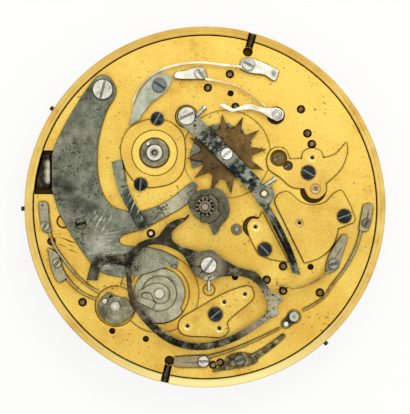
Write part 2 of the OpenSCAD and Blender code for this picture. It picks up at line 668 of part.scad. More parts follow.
// Repeating lever: turned by the push piece, its finger reads the hour snail
finger_tip = [[-1.35, 3.15], [-0.95, 2.75]];
chain_pin_at = [-3.85, -7.45];
module repeat_lever() color(steel) {
    disc(chain_pin_at, lever_z, 0.85, 0.24);
    difference() {
        slab(lever_z, lever_t) polygon(concat(
            run_of([[-11.15, 14.9], [-12.1, 16.3], [-13.5, 16.2], [-15.2, 14], [-16.7, 11.6], [-18, 9.2],
                [-18.9, 7],
                [-19.1, 6.4]]),
            [[-19.1, 6.4], [-19.1, 2.2]],
            run_of([[-18.7, 1], [-18.1, -0.8], [-17.1, -2.7], [-15.5, -5.2], [-14.1, -7.1]]),
            run_of([[-14.1, -7.1], [-12.6, -8.25], [-10.4, -8.7], [-8, -8.45], [-4.6, -7.4],
                [-3.9, -7.75], [-3.4, -7.4],
                [-3.6, -6.4], [-5.4, -5.5], [-7.6, -5], [-9.4, -4.95], [-10.5, -4.7], [-10.8, -4.15]]),
            run_of([[-10.8, -4.15], [-10.4, -3.55], [-9.3, -3.15], [-7.4, -2.6], [-5.2, -1.35],
                [-3, -0.1], [-1.7, 0.9]]),
            run_of([[-1.7, 0.9], [-1.25, 1.9], finger_tip[1]]),
            run_of([finger_tip[1], finger_tip[0]], 1),
            run_of([finger_tip[0], [-2.2, 2.65], [-4.4, 0.9], [-7, -0.35], [-9.6, -0.6], [-11.8, 0.2],
                [-13, 2.2],
                [-13.5, 5], [-13.3, 8.6], [-12.3, 12], [-11.3, 13.7], [-11.15, 14.9]])));
        disc(lever_at, -1, 4, lever_pivot_r + run);
        translate([-15.5, -2.1, lever_z + lever_t - 0.1]) {
            difference() {
                cylinder(h = 1, r = 0.72);
                translate([0, 0, -1]) cylinder(h = 3, r = 0.62);
            }
            rotate(15) cube([1.1, slot_w, 0.5], center = true);
        }
    }
}

// Push piece in its slot: a block that bears on the lever, with a stem through the ring
push_stem_r = 0.45;
push_w = 4.2;
push_nose = 1.75;
module push_piece() color(steel) {
    intersection() {
        translate([-plate_r, push_at[1] - push_w / 2, -1.3]) cube([push_nose + 0.3, push_w, 1]);
        translate([0, 0, -2]) cylinder(h = 4, r = plate_r - 0.15);
    }
    translate([push_nose - plate_r, push_at[1] - push_w / 2, 0.1]) rotate([-90, 0, 0])
        cylinder(h = push_w, r = 0.5);
    translate([-plate_r - ring_w + 0.5, push_at[1], -0.9]) rotate([0, 90, 0])
        cylinder(h = ring_w - 0.5 + push_nose - 0.35, r = push_stem_r);
}

// Chain pulley on the repeating arbor, with the hook for the chain
module chain_pulley() color(steel) {
    at(pulley_at) {
        slab(-let_in + 0.1, let_in - 0.05) polygon(concat(
            [for (k = [0 : 10 : 270]) polar(pulley_r - 0.55, k - 35)],
            [for (k = [0 : 10 : 80]) polar(pulley_r, k - 120)]));
        translate([0, 0, 0.05]) cylinder(h = 0.75, r = 2.1);
        translate([0, 0, floor_z + 0.1]) cylinder(h = -floor_z - let_in + 0.1, r = pulley_pivot_r);
        translate([0, 0, 0.8]) cylinder(h = 0.5, r = 0.6);
    }
    slab(0.7, 0.3)
        polygon(strip_of([[-9.1, -11.45], [-8.2, -11.6], [-7.3, -11.9], [-6.4, -12.3]], 0.35, 0.9));
    slab(0.75, 0.35)
        polygon(loop_of([[-8.4, -10.8], [-7.8, -10.3], [-7.1, -9.85], [-6.2, -9.55], [-5.3, -9.7],
            [-4.65, -10.25], [-4.45, -11], [-4.8, -11.7], [-5.5, -12], [-6.2, -11.75], [-6.5, -11.1],
            [-6.8, -10.65], [-7.5, -10.6]], 2));
}

// Star wheel, one point for each hour
star_phase = 6.5;
module star_wheel() color(bronze)
    at(star_at) slab(star_z, star_t) difference() {
        polygon([
            for (i = [0 : hours - 1], k = [0, 1, 2])
                polar([star_r, 0.63 * star_r, 0.63 * star_r][k],
                    star_phase + (i + [0, 0.32, 0.68][k]) * 360 / hours)
        ]);
        circle(stud_r + run);
    }

// Hour snail: twelve steps under the star, the deepest one facing the lever's finger
snail_face = 218;
module hour_snail() color(steel)
    at(star_at) slab(lever_z, star_z - lever_z) difference() {
        polygon([
            for (i = [0 : hours - 1], k = [0, 1, 2])
                let (r = hour_snail_max + (hour_snail_min - hour_snail_max) * i / (hours - 1))
                polar(r, snail_face - (i + 1 + (k - 1) * 0.49) * 360 / hours)
        ]);
        circle(stud_r + run);
    }

// All-or-nothing: a bar over the star that carries its stud, with a long arm to the rack's side
bar_slack = 0.25;
guide_r = 0.35;
module all_or_nothing() color(steel)
    difference() {
        union() {
            slab(bar_z, bar_t) polygon(concat(
                run_of([[-3.15, 10.45], [-3.5, 11.3], [-3.15, 12.15], [-2.3, 12.5], [-1.45, 12.15],
                    [-1.2, 11.6]]),
                [[-1.2, 11.6], [2.6, 7.8], [6.7, 3.6]],
                run_of([[6.7, 3.6], [7.15, 2.85], [8.1, 2.65], [8.65, 1.75], [8.4, 0.8], [7.95, 0.2]]),
                run_of([[7.95, 0.2], [9.25, -1.95], [10.25, -3.95], [11, -5.7], [11.6, -7.5],
                    [11.85, -8.5]]),
                [[11.85, -8.5]],
                run_of([[10.85, -8.15], [10.65, -7.4], [10.2, -6.1], [9.4, -4.4], [8.3, -2.2],
                    [7.2, -0.1]]),
                run_of([[7.2, -0.1], [6.5, 0.6], [6.1, 1.5], [5.35, 2.25]]),
                [[5.35, 2.25], [1.2, 6.45], [-3.15, 10.45]]));
            lying_pin([-1.2, 11.2], [0, 12.4], bar_z + bar_t - 0.15, 0.27);
            lying_pin([7, 2.4], [8.7, 3.5], bar_z + bar_t - 0.15, 0.27);
        }
        disc([-1.25, 10.1], -1, 5, 0.2);
        disc([-0.2, 9.1], -1, 5, 0.32);
        disc(bar_at, -1, 5, bar_pivot_r + run);
        disc(bar_end_at, -1, 5, guide_r + bar_slack);
        disc(star_at, -1, 5, stud_r * 0.6);
    }

module star_stud() color(bright) {
    disc(star_at, lever_z + 0.02, bar_z - lever_z - 0.02, stud_r);
    difference() {
        union() {
            disc(star_at, bar_z - 0.1, bar_t + 0.1, stud_r * 0.6);
            disc(star_at, bar_z + bar_t, 0.25, 0.7);
        }
        translate([star_at[0], star_at[1], bar_z + bar_t + 0.25]) rotate(40) cube([2, slot_w, 0.3],
            center = true);
    }
}

// Jumper: its beak drops between two points of the star
module star_jumper() color(bright)
    difference() {
        slab(star_z, star_t) polygon(concat(
            run_of([[9, 10.7], [9.7, 11.1], [9.75, 11.9], [9, 12.35], [8.2, 12.35], [7.5, 12.33],
                [6.5, 12.58 + up / 2], [5.4, 12.82 + up], [4.4, 12.55 + up], [3.55, 12.22 + up]]),
            run_of([[3.55, 12.22 + up], [2.9, 12.55 + up], [2.25, 12.88 + up], [1.75, 12.7 + up]]),
            run_of([[1.75, 12.7 + up], [2.5, 12.22 + up], [3.4, beak_y]]),
            run_of([[3.4, beak_y], [4.2, 12 + up], [5.2, 12.14 + up], [6.2, 12.02 + up / 2], [7.2, 11.68],
                [8, 11.15], [9, 10.7]])));
        disc(jumper_at, -1, 4, small_pivot_r + run);
    }
star_clear = 0.12;
beak_y = star_at[1] + star_r + star_clear;
up = beak_y - 11.82;

// Detent: a leaf-shaped lever pressed by the long spring
module detent() color(steel)
    difference() {
        slab(star_z, star_t) polygon(concat(
            run_of([[-9.55, 10.05], [-8.9, 12.4], [-8, 14.5], [-6.6, 16.2], [-5.1, 16.75]]),
            run_of([[-5.1, 16.75], [-4.2, 16.3], [-4.25, 15.4], [-5, 14.3], [-6.6, 13], [-7.7, 11.7],
                [-8.1, 10.95]]),
            [[-8.1, 10.95]]));
        disc(detent_at, -1, 4, small_pivot_r + run);
    }

// Quarter rack: a wide loop with a finger for the quarter snail and a foot for the hour hammer
module quarter_rack() color(black_steel)
    difference() {
        union() {
            slab(rack_z, rack_t) difference() {
                polygon(concat(
                    run_of([[-9.75, -9.3], [-9.9, -7.5], [-10.6, -7.2], [-12.2, -7], [-13, -7.6],
                        [-13.3, -9.15]]),
                    run_of([[-13.3, -9.15], [-14.75, -9.1]], 1),
                    run_of([[-14.75, -9.1], [-14.4, -7.8], [-13.9, -6.5], [-13, -5.85], [-12, -6.1],
                        [-10.4, -5.9],
                        [-9.3, -5.5], [-8.3, -4.5], [-7, -3.95], [-5.9, -3.7], [-5.4, -3.1],
                            [-4.6, -2.1], [-3.4, -1.5],
                        [-2.5, -1.3], [-2.05, -0.85]]),
                    run_of([[-2.05, -0.85], [-1.95, -1.05]], 1),
                    run_of([[-1.95, -1.05], [-2.3, -1.6], [-3.3, -2.3], [-4.1, -3.2], [-3.9, -4.3],
                        [-2.2, -5.1],
                        [-0.6, -5.5], [0.9, -5.35], [2.2, -6.3], [4, -7.4], [6.2, -8], [7.1, -8.9],
                            [8.2, -10.4], [9.75, -11.4],
                        [8.9, -12.4], [9.2, -13.3], [8.1, -13.9], [6.5, -15], [4.4, -16.35], [2, -17.35],
                            [-0.8, -17.8],
                        [-3.6, -17.3], [-6, -15.9], [-8.2, -13.6], [-9.4, -11.6], [-9.75, -9.3]])));
                polygon(loop_of([[-9.1, -9.4], [-9.15, -7.4], [-8.5, -5.9], [-7.5, -5], [-6, -4.65],
                    [-4.4, -5],
                    [-2.8, -5.9], [-1.9, -7.4], [-1.1, -8.6], [0.45, -9.1], [2, -8.7], [4.4, -8.6],
                        [6, -9.2], [7, -10.3],
                    [7.75, -11.8], [7.6, -13.1], [6.3, -14.2], [4.2, -15.5], [2, -16.45], [-0.8, -16.9],
                        [-3.4, -16.4],
                    [-5.5, -15.1], [-7.5, -13.1], [-8.7, -11.4]]));
            }
            lying_pin([0.45, -8.2], rack_pin_at, rack_z + rack_t / 2, 0.22);
        }
        disc(rack_at, -1, 5, rack_pivot_r + run);
    }

// Cannon pinion, quarter snail and star driver turn together on the centre arbor
cannon_r = 0.72;
cannon_bore = 0.45;
module cannon_pinion() color(steel)
    difference() {
        union() {
            slab(cannon_z, 0.9)
                polygon(gear_points(12, 1.2, 0.78, 15, 0.16, 0.3));
            translate([0, 0, bar_z]) cylinder(h = cannon_z + 1.7 - bar_z, r = cannon_r);
        }
        translate([0, 0, -1]) cylinder(h = 6, r = cannon_bore);
    }

quarter_face = 206;
module quarter_snail() color(black_steel)
    slab(rack_z, rack_t) difference() {
        polygon([
            for (q = [0 : 3], k = [0 : 6])
                let (r = quarter_snail_max + (quarter_snail_min - quarter_snail_max) * q / 3)
                polar(r, quarter_face + (q - 3) * 90 + (k - 3) / 3 * 44.5)
        ]);
        circle(cannon_r);
    }

module star_driver() color(steel)
    slab(bar_z, driver_t) difference() {
        polygon(concat(
            run_of([polar(2.6, 68), polar(2.3, 80), polar(2.25, 120), polar(2.25, 160), polar(1.95, 185)]),
            run_of([polar(1.95, 185), polar(1.8, 215), polar(1.8, 245), polar(1.85, 275)]),
            run_of([polar(1.85, 275), polar(2.6, 285), polar(3.65, 287), polar(3.5, 297), polar(3.1, 308)]),
            run_of([polar(3.1, 308), polar(3.15, 335), polar(3.1, 0), polar(3, 30), polar(2.85, 55),
                polar(2.6, 68)])));
        circle(cannon_r);
    }

// Barrel with its toothed rim, lid, arbor and spring
barrel_h = 2.4;
barrel_top = back - 0.25;
barrel_wall = 0.5;
barrel_m = module_of(barrel_at, origin, barrel_teeth, centre_leaves);
barrel_r = barrel_m * barrel_teeth / 2;
module barrel() color(gilt)
    at(barrel_at) difference() {
        union() {
            slab(barrel_top - 0.7, 0.7) wheel_2d(barrel_at, origin, barrel_teeth, centre_leaves);
            translate([0, 0, barrel_top - barrel_h]) cylinder(h = barrel_h, r = barrel_r - 2 * barrel_m);
        }
        translate([0, 0, barrel_top - barrel_h - 1]) cylinder(h = barrel_h + 0.5,
            r = barrel_r - 2 * barrel_m - barrel_wall);
        translate([0, 0, barrel_top - 2]) cylinder(h = 4, r = barrel_pivot_r + run);
    }

module barrel_lid() color(gilt_dark)
    at(barrel_at) difference() {
        translate([0, 0, barrel_top - barrel_h]) cylinder(h = 0.35,
            r = barrel_r - 2 * barrel_m - barrel_wall);
        translate([0, 0, barrel_top - barrel_h - 1]) cylinder(h = 3, r = barrel_pivot_r + run);
    }

module barrel_arbor() color(bright)
    at(barrel_at) difference() {
        union() {
            translate([0, 0, floor_z + 0.1]) cylinder(h = 2 * proud - floor_z, r = barrel_pivot_r);
            translate([0, 0, barrel_top - barrel_h + 0.45]) cylinder(h = barrel_h - 1.1, r = 1.5);
            translate([0, 0, 2 * proud + 0.05]) cylinder(h = 0.35, r = 1.75);
            translate([0, 0, 2 * proud + 0.4]) cylinder(h = 0.55, r = 1);
            translate([-0.8, 1.1, 2 * proud + 0.2]) cylinder(h = 0.4, r = 0.25);
        }
        translate([0, 0, 0]) cylinder(h = 4, r = 0.36);
    }

// Spiral outline of a spring, from the inner radius outwards
function spiral(r0, pitch, turns, w, start, step = 15) = concat(
    [for (a = [0 : step : 360 * turns]) polar(r0 + pitch * a / 360 + w / 2, start + a)],
    [for (a = [360 * turns : -step : 0]) polar(r0 + pitch * a / 360 - w / 2, start + a)]);
function spiral_gap(r0, pitch, turns, w, step = 15) = min([
    for (a = [0 : step : 360 * (turns - 1)])
        norm(polar(r0 + pitch * (a + 360) / 360 - w / 2, a) - polar(r0 + pitch * a / 360 + w / 2, a))
]);

main_r0 = 1.75;
main_turns = 6;
main_w = 0.3;
main_pitch = (barrel_r - 2 * barrel_m - barrel_wall - main_r0 - 0.25) / main_turns;
module mainspring() color(black_steel)
    at(barrel_at) slab(barrel_top - barrel_h + 0.45, barrel_h - 1.05)
        polygon(spiral(main_r0, main_pitch, main_turns, main_w, 0));

// Going train: each wheel with its pinion on one arbor
centre_wheel_z = barrel_top - barrel_h - 0.55;
third_wheel_z = back - 2;
fourth_wheel_z = back - 0.9;
module centre_wheel() color(gilt) {
    slab(centre_wheel_z, wheel_t) crossed_2d(origin, third_at, centre_teeth, leaves, 1.3);
    slab(barrel_top - 0.85, 0.95) pinion_2d(barrel_at, origin, barrel_teeth, centre_leaves);
    translate([0, 0, centre_wheel_z - 0.2]) cylinder(h = -centre_wheel_z + 0.2 + 0.05, r = centre_pivot_r);
    translate([0, 0, floor_z + 0.1]) cylinder(h = cannon_z + 1.9 - floor_z, r = 0.4);
}

module third_wheel() color(gilt) {
    at(third_at) {
        slab(third_wheel_z, wheel_t) crossed_2d(third_at, fourth_at, third_teeth, leaves, 0.9);
        slab(centre_wheel_z - 0.1, wheel_t + 0.2) pinion_2d(origin, third_at, centre_teeth, leaves);
        arbor(bridge_z + 0.1, -let_in - 0.1);
    }
}

module fourth_wheel() color(gilt) {
    at(fourth_at) {
        slab(fourth_wheel_z, wheel_t) crossed_2d(fourth_at, escape_at, fourth_teeth, leaves, 0.8);
        slab(third_wheel_z - 0.1, wheel_t + 0.2) pinion_2d(third_at, fourth_at, third_teeth, leaves);
        arbor(bridge_z + 0.1, -let_in - 0.1);
    }
}

// Escape wheel of the cylinder escapement: each tooth stands on a short stem
escape_r = norm(balance_at - escape_at);
escape_z = back - 1.9;
tooth_len = 0.55;
module escape_wheel() color(steel) {
    face = angle_of(balance_at - escape_at);
    at(escape_at) {
        slab(escape_z, 0.2) {
            difference() {
                circle(escape_r - 0.6);
                difference() {
                    circle(escape_r - 1.2);
                    circle(0.8);
                    for (turn = [0, 90]) rotate(turn + 20) square([2 * escape_r, 0.5], center = true);
                }
            }
            for (i = [0 : escape_teeth - 1])
                rotate(face + (i + 0.5) * 360 / escape_teeth) translate([escape_r - 0.9, -0.15])
                    square([0.75, 0.3]);
        }
        for (i = [0 : escape_teeth - 1])
            rotate(face + (i + 0.5) * 360 / escape_teeth)
                slab(escape_z - 0.45, 0.55)
                    polygon([[escape_r - 0.35, -tooth_len / 2], [escape_r + 0.04, -tooth_len / 2],
                        [escape_r - 0.1, tooth_len / 2], [escape_r - 0.35, tooth_len / 2]]);
        slab(fourth_wheel_z - 0.1, wheel_t + 0.2) pinion_2d(fourth_at, escape_at, fourth_teeth, leaves);
        translate([0, 0, escape_cock_z + escape_cock_t + 0.05])
            cylinder(h = -let_in - 0.15 - escape_cock_z - escape_cock_t, r = arbor_r);
        translate([0, 0, escape_cock_z + 0.1]) cylinder(h = -escape_cock_z - 0.1 + 0.1, r = pivot_r);
    }
}

// Balance: rim, three arms, and a staff whose middle is the cut cylinder
balance_z = bridge_z + 0.75;
cylinder_r = 0.48;
module balance() color(gilt)
    at(balance_at) {
        slab(balance_z, 0.45) difference() {
            circle(balance_r);
            difference() {
                circle(balance_r - 0.7);
                circle(0.9);
                for (turn = [0, 120, 240])
                    rotate(turn + 60) translate([0, -0.35]) square([balance_r, 0.7]);
            }
        }
        translate([0, 0, bridge_z + 0.1]) cylinder(h = balance_z - bridge_z + 0.3, r = 0.5);
        translate([0, 0, floor_z + 0.2]) cylinder(h = bridge_t, r = pivot_r);
        difference() {
            translate([0, 0, balance_z + 0.4]) cylinder(h = -let_in - 0.1 - balance_z - 0.4,
                r = cylinder_r);
            translate([0, 0, escape_z - 0.6]) rotate(angle_of(escape_at - balance_at))
                translate([-0.18, -1, 0]) cube([2, 2, 1]);
        }
        translate([0, 0, -let_in - 0.2]) cylinder(h = 0.6, r = pivot_r);
    }

// Hairspring: a flat spiral from the collet to the stud on the cock
hair_r0 = 0.68;
hair_z = bridge_z + 0.15;
hair_h = 0.3;
hair_gap = spiral_gap(hair_r0, hair_pitch, hair_turns, hair_w);
echo(hairspring_least_gap = hair_gap, mainspring_least_gap = spiral_gap(main_r0, main_pitch, main_turns,
    main_w));
module hairspring() color(black_steel)
    at(balance_at) {
        slab(hair_z, hair_h) polygon(spiral(hair_r0, hair_pitch, hair_turns, hair_w, 100));
        rotate(100) translate([hair_r0 + hair_pitch * hair_turns, 0, bridge_z])
            translate([-0.2, -0.25, 0]) cube([0.4, 0.5, 0.5]);
    }

// Hammers under the plate, each on an arbor that carries its trip on the dial side
hammer_z = back - 2.4;
module hammer(axis, head, trip, pin) {
    difference() {
        slab(hammer_z, 1) {
            bar_2d(axis, head, 1.5);
            at(head) circle(hammer_head_r);
        }
    }
    disc(axis, hammer_z, 0.3 - hammer_z, hammer_pivot_r);
    disc(axis, back - 0.55, 0.5, 0.9);
    slab(trip[0], trip[1]) bar_2d(axis, pin, 1.1);
    disc(axis, trip[0], 0.35, trip[2]);
    disc(pin, trip[0], 1.3 - trip[0], 0.3);
    disc(axis, 0.2, 0.6, 0.6);
}
hammer_reach = gong_r - gong_wire / 2 - hammer_gap - hammer_head_r;
hour_pin = [-12.5, -11.75];
quarter_pin = [10.1, -14.6];
module hour_hammer() color(steel) {
    hammer(hour_hammer_at, polar(hammer_reach, 212), [-0.85, 0.35, 1.2], hour_pin);
    slab(-0.85, 0.35) difference() {
        polygon(loop_of([[-13.3, -11.9], [-12.6, -11.1], [-11.9, -10.75], [-10.9, -11.5], [-10, -11.4],
            [-9.3, -12.2],
            [-8.95, -13.1], [-9.6, -13.95], [-10.6, -14.55], [-11.6, -14.6], [-12.7, -14.05],
                [-13.35, -13.1]], 2));
        translate([-11.75, -11.35]) rotate(35) square(0.5, center = true);
    }
}
module quarter_hammer() color(steel)
    hammer(quarter_hammer_at, polar(hammer_reach, -36), [0.05, 0.45, 0.8], quarter_pin);

// Repeating train, from the great wheel to the fly
great_teeth = 60;
repeat_second_teeth = 42;
repeat_third_teeth = 36;
repeat_fourth_teeth = 30;
second_leaves = 8;
third_leaves = 7;
fly_leaves = 6;
great_z = back - 1;
second_z = back - 1.9;
repeat_third_z = back - 3;
repeat_fourth_z = back - 3.8;
module repeat_great_wheel() color(gilt)
    at(pulley_at) difference() {
        union() {
            slab(great_z, wheel_t) crossed_2d(pulley_at, second_at, great_teeth, second_leaves, 1.4);
            translate([0, 0, great_z - 0.4]) cylinder(h = wheel_t + 0.6, r = 1.1);
        }
        translate([0, 0, great_z - 1]) cylinder(h = 3, r = pulley_pivot_r + run);
    }

module repeat_second_wheel() color(gilt)
    at(second_at) {
        slab(second_z, wheel_t) crossed_2d(second_at, repeat_third_at, repeat_second_teeth,
            third_leaves, 0.9);
        slab(great_z - 0.1, wheel_t + 0.2) pinion_2d(pulley_at, second_at, great_teeth, second_leaves);
        arbor(bridge_z + 0.1, -let_in - 0.1);
    }

module repeat_third_wheel() color(gilt)
    at(repeat_third_at) {
        slab(repeat_third_z, wheel_t) crossed_2d(repeat_third_at, repeat_fourth_at, repeat_third_teeth,
            fly_leaves, 0.8);
        slab(second_z - 0.1, wheel_t + 0.2) pinion_2d(second_at, repeat_third_at, repeat_second_teeth,
            third_leaves);
        arbor(bridge_z + 0.1, -let_in - 0.1);
    }

module repeat_fourth_wheel() color(gilt)
    at(repeat_fourth_at) {
        slab(repeat_fourth_z, wheel_t) crossed_2d(repeat_fourth_at, fly_at, repeat_fourth_teeth,
            fly_leaves, 0.7);
        slab(repeat_third_z - 0.1, wheel_t + 0.2)
            pinion_2d(repeat_third_at, repeat_fourth_at, repeat_third_teeth, fly_leaves);
        arbor(bridge_z + 0.1, -let_in - 0.1);
    }

// Fly: the fast pinion that steadies the blows
module fly() color(gilt)
    at(fly_at) {
        slab(repeat_fourth_z - 0.1, wheel_t + 0.2) pinion_2d(repeat_fourth_at, fly_at,
            repeat_fourth_teeth, fly_leaves);
        slab(back - 2.4, 1.5) square([2.8, 0.4], center = true);
        arbor(bridge_z + 0.1, -let_in - 0.1);
    }

plate();
case_ring();
barrel_cap();
repeat_bridge_front();
third_bridge();
fourth_bridge();
chariot();
barrel_bridge();
train_bridge();
escape_cock();
balance_cock();
repeat_bridge();
repeat_drum();
front_screws();
back_screws();
spring_screws();
pivot_screws();
plate_pins();
rim_pins();
lever_spring();
left_trip_spring();
detent_spring();
jumper_spring();
rack_spring();
right_trip_spring();
hammer_spring();
bottom_spring();
gong_block();
gongs();
lever_keeper();
repeat_lever();
push_piece();
chain_pulley();
star_wheel();
hour_snail();
all_or_nothing();
star_stud();
star_jumper();
detent();
quarter_rack();
cannon_pinion();
quarter_snail();
star_driver();
barrel();
barrel_lid();
barrel_arbor();
mainspring();
centre_wheel();
third_wheel();
fourth_wheel();
escape_wheel();
balance();
hairspring();
hour_hammer();
quarter_hammer();
repeat_great_wheel();
repeat_second_wheel();
repeat_third_wheel();
repeat_fourth_wheel();
fly();
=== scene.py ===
import math
import bpy
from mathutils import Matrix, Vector


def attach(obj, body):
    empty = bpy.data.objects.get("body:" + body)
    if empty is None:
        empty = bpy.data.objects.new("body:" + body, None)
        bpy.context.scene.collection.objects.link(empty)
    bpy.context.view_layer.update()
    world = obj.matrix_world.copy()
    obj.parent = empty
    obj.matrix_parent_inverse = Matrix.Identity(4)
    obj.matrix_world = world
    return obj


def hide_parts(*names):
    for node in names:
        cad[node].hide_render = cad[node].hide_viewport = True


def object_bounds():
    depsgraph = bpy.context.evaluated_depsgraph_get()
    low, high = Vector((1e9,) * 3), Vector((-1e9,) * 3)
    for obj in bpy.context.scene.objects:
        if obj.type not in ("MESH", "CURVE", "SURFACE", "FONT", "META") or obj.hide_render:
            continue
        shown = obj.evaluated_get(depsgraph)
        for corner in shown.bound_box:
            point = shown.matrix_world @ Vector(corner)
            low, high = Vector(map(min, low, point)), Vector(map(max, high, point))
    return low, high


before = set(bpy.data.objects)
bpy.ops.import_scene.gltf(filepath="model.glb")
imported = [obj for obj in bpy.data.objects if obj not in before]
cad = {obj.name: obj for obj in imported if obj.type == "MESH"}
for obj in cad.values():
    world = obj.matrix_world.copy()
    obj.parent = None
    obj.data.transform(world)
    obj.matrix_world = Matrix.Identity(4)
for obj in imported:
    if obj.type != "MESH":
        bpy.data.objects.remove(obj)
bpy.context.view_layer.update()
cad_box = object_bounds()
scene = bpy.context.scene
scene.view_settings.view_transform = "Standard"

# Table, light and camera: the movement lies on its back bridges on white paper, dial side up, in a
# pale room with one large soft window, and is looked at straight down, as at the bench. The paper lies
# a hair lower than the bridges, so that no two faces share a plane.
MM = 0.001
# Scale of a pattern that repeats once in a millimetre
PER_MM = 1000
PAPER_GAP = 0.02 * MM
PAPER_REACH = 0.8
CORNERS = ((-1, -1), (1, -1), (1, 1), (-1, 1))
TABLE_Z = cad_box[0].z - PAPER_GAP
VIEW_HEIGHT = 51.75 * MM
LENS, SENSOR = 200.0, 36.0


def linear(hex_colour):
    """sRGB hex value to linear colour with alpha."""
    parts = [int(hex_colour[i:i + 2], 16) / 255 for i in (1, 3, 5)]
    return [c / 12.92 if c <= 0.04045 else ((c + 0.055) / 1.055) ** 2.4 for c in parts] + [1.0]


def add(tree, kind, settings=None, links=None):
    """Adds a node: settings are its options, ramp stops or fixed inputs, links are its fed inputs."""
    node = tree.nodes.new(kind)
    for key, value in (settings or {}).items():
        if key == "stops":
            ramp = node.color_ramp
            while len(ramp.elements) < len(value):
                ramp.elements.new(0.5)
            for stop, (place, colour) in zip(ramp.elements, value):
                stop.position = place
                stop.color = linear(colour)
        elif isinstance(key, str) and hasattr(node, key):
            setattr(node, key, value)
        else:
            node.inputs[key].default_value = value
    for key, source in (links or {}).items():
        tree.links.new(source, node.inputs[key])
    return node


def new_material(name):
    """An empty node material; returns it with its tree."""
    material = bpy.data.materials.new(name)
    material.use_nodes = True
    material.node_tree.nodes.clear()
    return material, material.node_tree


# White paper: dead matte with a faint grain; to the eye and in reflections it is white, with a soft
# shadow under the movement.
paper, tree = new_material("paper_white_matte")
paper_grain = add(tree, "ShaderNodeTexNoise", {"Scale": PER_MM / 0.8, "Detail": 3.0})
paper_tone = add(tree, "ShaderNodeValToRGB", {"stops": [(0.3, "#f6f6f5"), (0.7, "#fbfbfa")]},
                 {"Fac": paper_grain.outputs["Fac"]})
paper_lit = add(tree, "ShaderNodeBsdfDiffuse", {}, {"Color": paper_tone.outputs["Color"]})
paper_white = add(tree, "ShaderNodeEmission", {"Strength": 1.0})
paper_seen = add(tree, "ShaderNodeMixShader", {"Fac": 0.85},
                 {1: paper_lit.outputs[0], 2: paper_white.outputs[0]})
ray = add(tree, "ShaderNodeLightPath")
seen_or_glossy = add(tree, "ShaderNodeMath", {"operation": "MAXIMUM"},
                     {0: ray.outputs["Is Camera Ray"], 1: ray.outputs["Is Glossy Ray"]})
seen_at_all = add(tree, "ShaderNodeMath", {"operation": "MAXIMUM"},
                  {0: seen_or_glossy.outputs[0], 1: ray.outputs["Is Transmission Ray"]})
paper_look = add(tree, "ShaderNodeMixShader", {},
                 {"Fac": seen_at_all.outputs[0], 1: paper_lit.outputs[0], 2: paper_seen.outputs[0]})
add(tree, "ShaderNodeOutputMaterial", {}, {"Surface": paper_look.outputs[0]})
table_mesh = bpy.data.meshes.new("table")
table_corners = [(x * PAPER_REACH, y * PAPER_REACH, TABLE_Z) for x, y in CORNERS]
table_mesh.from_pydata(table_corners, [], [(0, 1, 2, 3)])
table_mesh.materials.append(paper)
table = bpy.data.objects.new("table", table_mesh)
scene.collection.objects.link(table)

# The room is lit from above by a pale ceiling and is darker towards the horizon, so that flat tops shine
# and broken edges stand out dark.
room = bpy.data.worlds.new("pale_room")
scene.world = room
room.use_nodes = True
tree = room.node_tree
tree.nodes.clear()
room_way = add(tree, "ShaderNodeTexCoord")
room_lean = add(tree, "ShaderNodeVectorMath", {"operation": "DOT_PRODUCT", 1: (0.1, 0.22, 0.97)},
                {0: room_way.outputs["Generated"]})
room_tone = add(tree, "ShaderNodeMapRange",
                {"interpolation_type": "SMOOTHSTEP", "From Min": 0.1, "From Max": 0.75,
                 "To Min": 0.12, "To Max": 1.06},
                {"Value": room_lean.outputs["Value"]})
room_light = add(tree, "ShaderNodeBackground", {"Color": linear("#fffdf9")},
                 {"Strength": room_tone.outputs[0]})
add(tree, "ShaderNodeOutputWorld", {}, {"Surface": room_light.outputs[0]})

window = bpy.data.lights.new("window", "AREA")
window.shape, window.size = "DISK", 0.14
window.energy = 0.19
window_object = bpy.data.objects.new("window", window)
window_object.location = (0.07, 0.15, 0.25)
window_object.rotation_euler = (-window_object.location).to_track_quat("-Z", "Y").to_euler()
scene.collection.objects.link(window_object)

camera = bpy.data.cameras.new("camera")
camera.lens, camera.sensor_width, camera.sensor_fit = LENS, SENSOR, "AUTO"
camera.clip_start, camera.clip_end = 0.005, 10.0
camera_object = bpy.data.objects.new("camera", camera)
camera_object.location = (0.0, 0.0, VIEW_HEIGHT * LENS / SENSOR)
scene.collection.objects.link(camera_object)
scene.camera = camera_object

# Main plate: the round brass plate that carries everything, turned, drilled and recessed, its face
# matted and fire-gilt. Oil and handling have browned the gilding in patches; old oil and painted shade
# darken every corner.
# Places on it and on the other pieces are in millimetres from its centre.
FLAT = (1.0, 1.0, 0.0)
# Sockets of the colour mix node: the colour below, the colour laid over it and the result
UNDER, OVER, MIXED = 6, 7, 2
# How far a spot's border wanders, as a share of the border's width
RAGGED = 1.2
# Colour of old oil and painted shade in the brass's corners
BRASS_OIL_AND_SHADE = "#241605"
BUMP_DEPTH = 0.03 * MM
# Heights between which the plate's deep cuts turn black with painted shade and old oil, and its back,
# which stays clean
CUT_CLEAN, CUT_BLACK, PLATE_BACK = -1.0 * MM, -1.3 * MM, -1.55 * MM


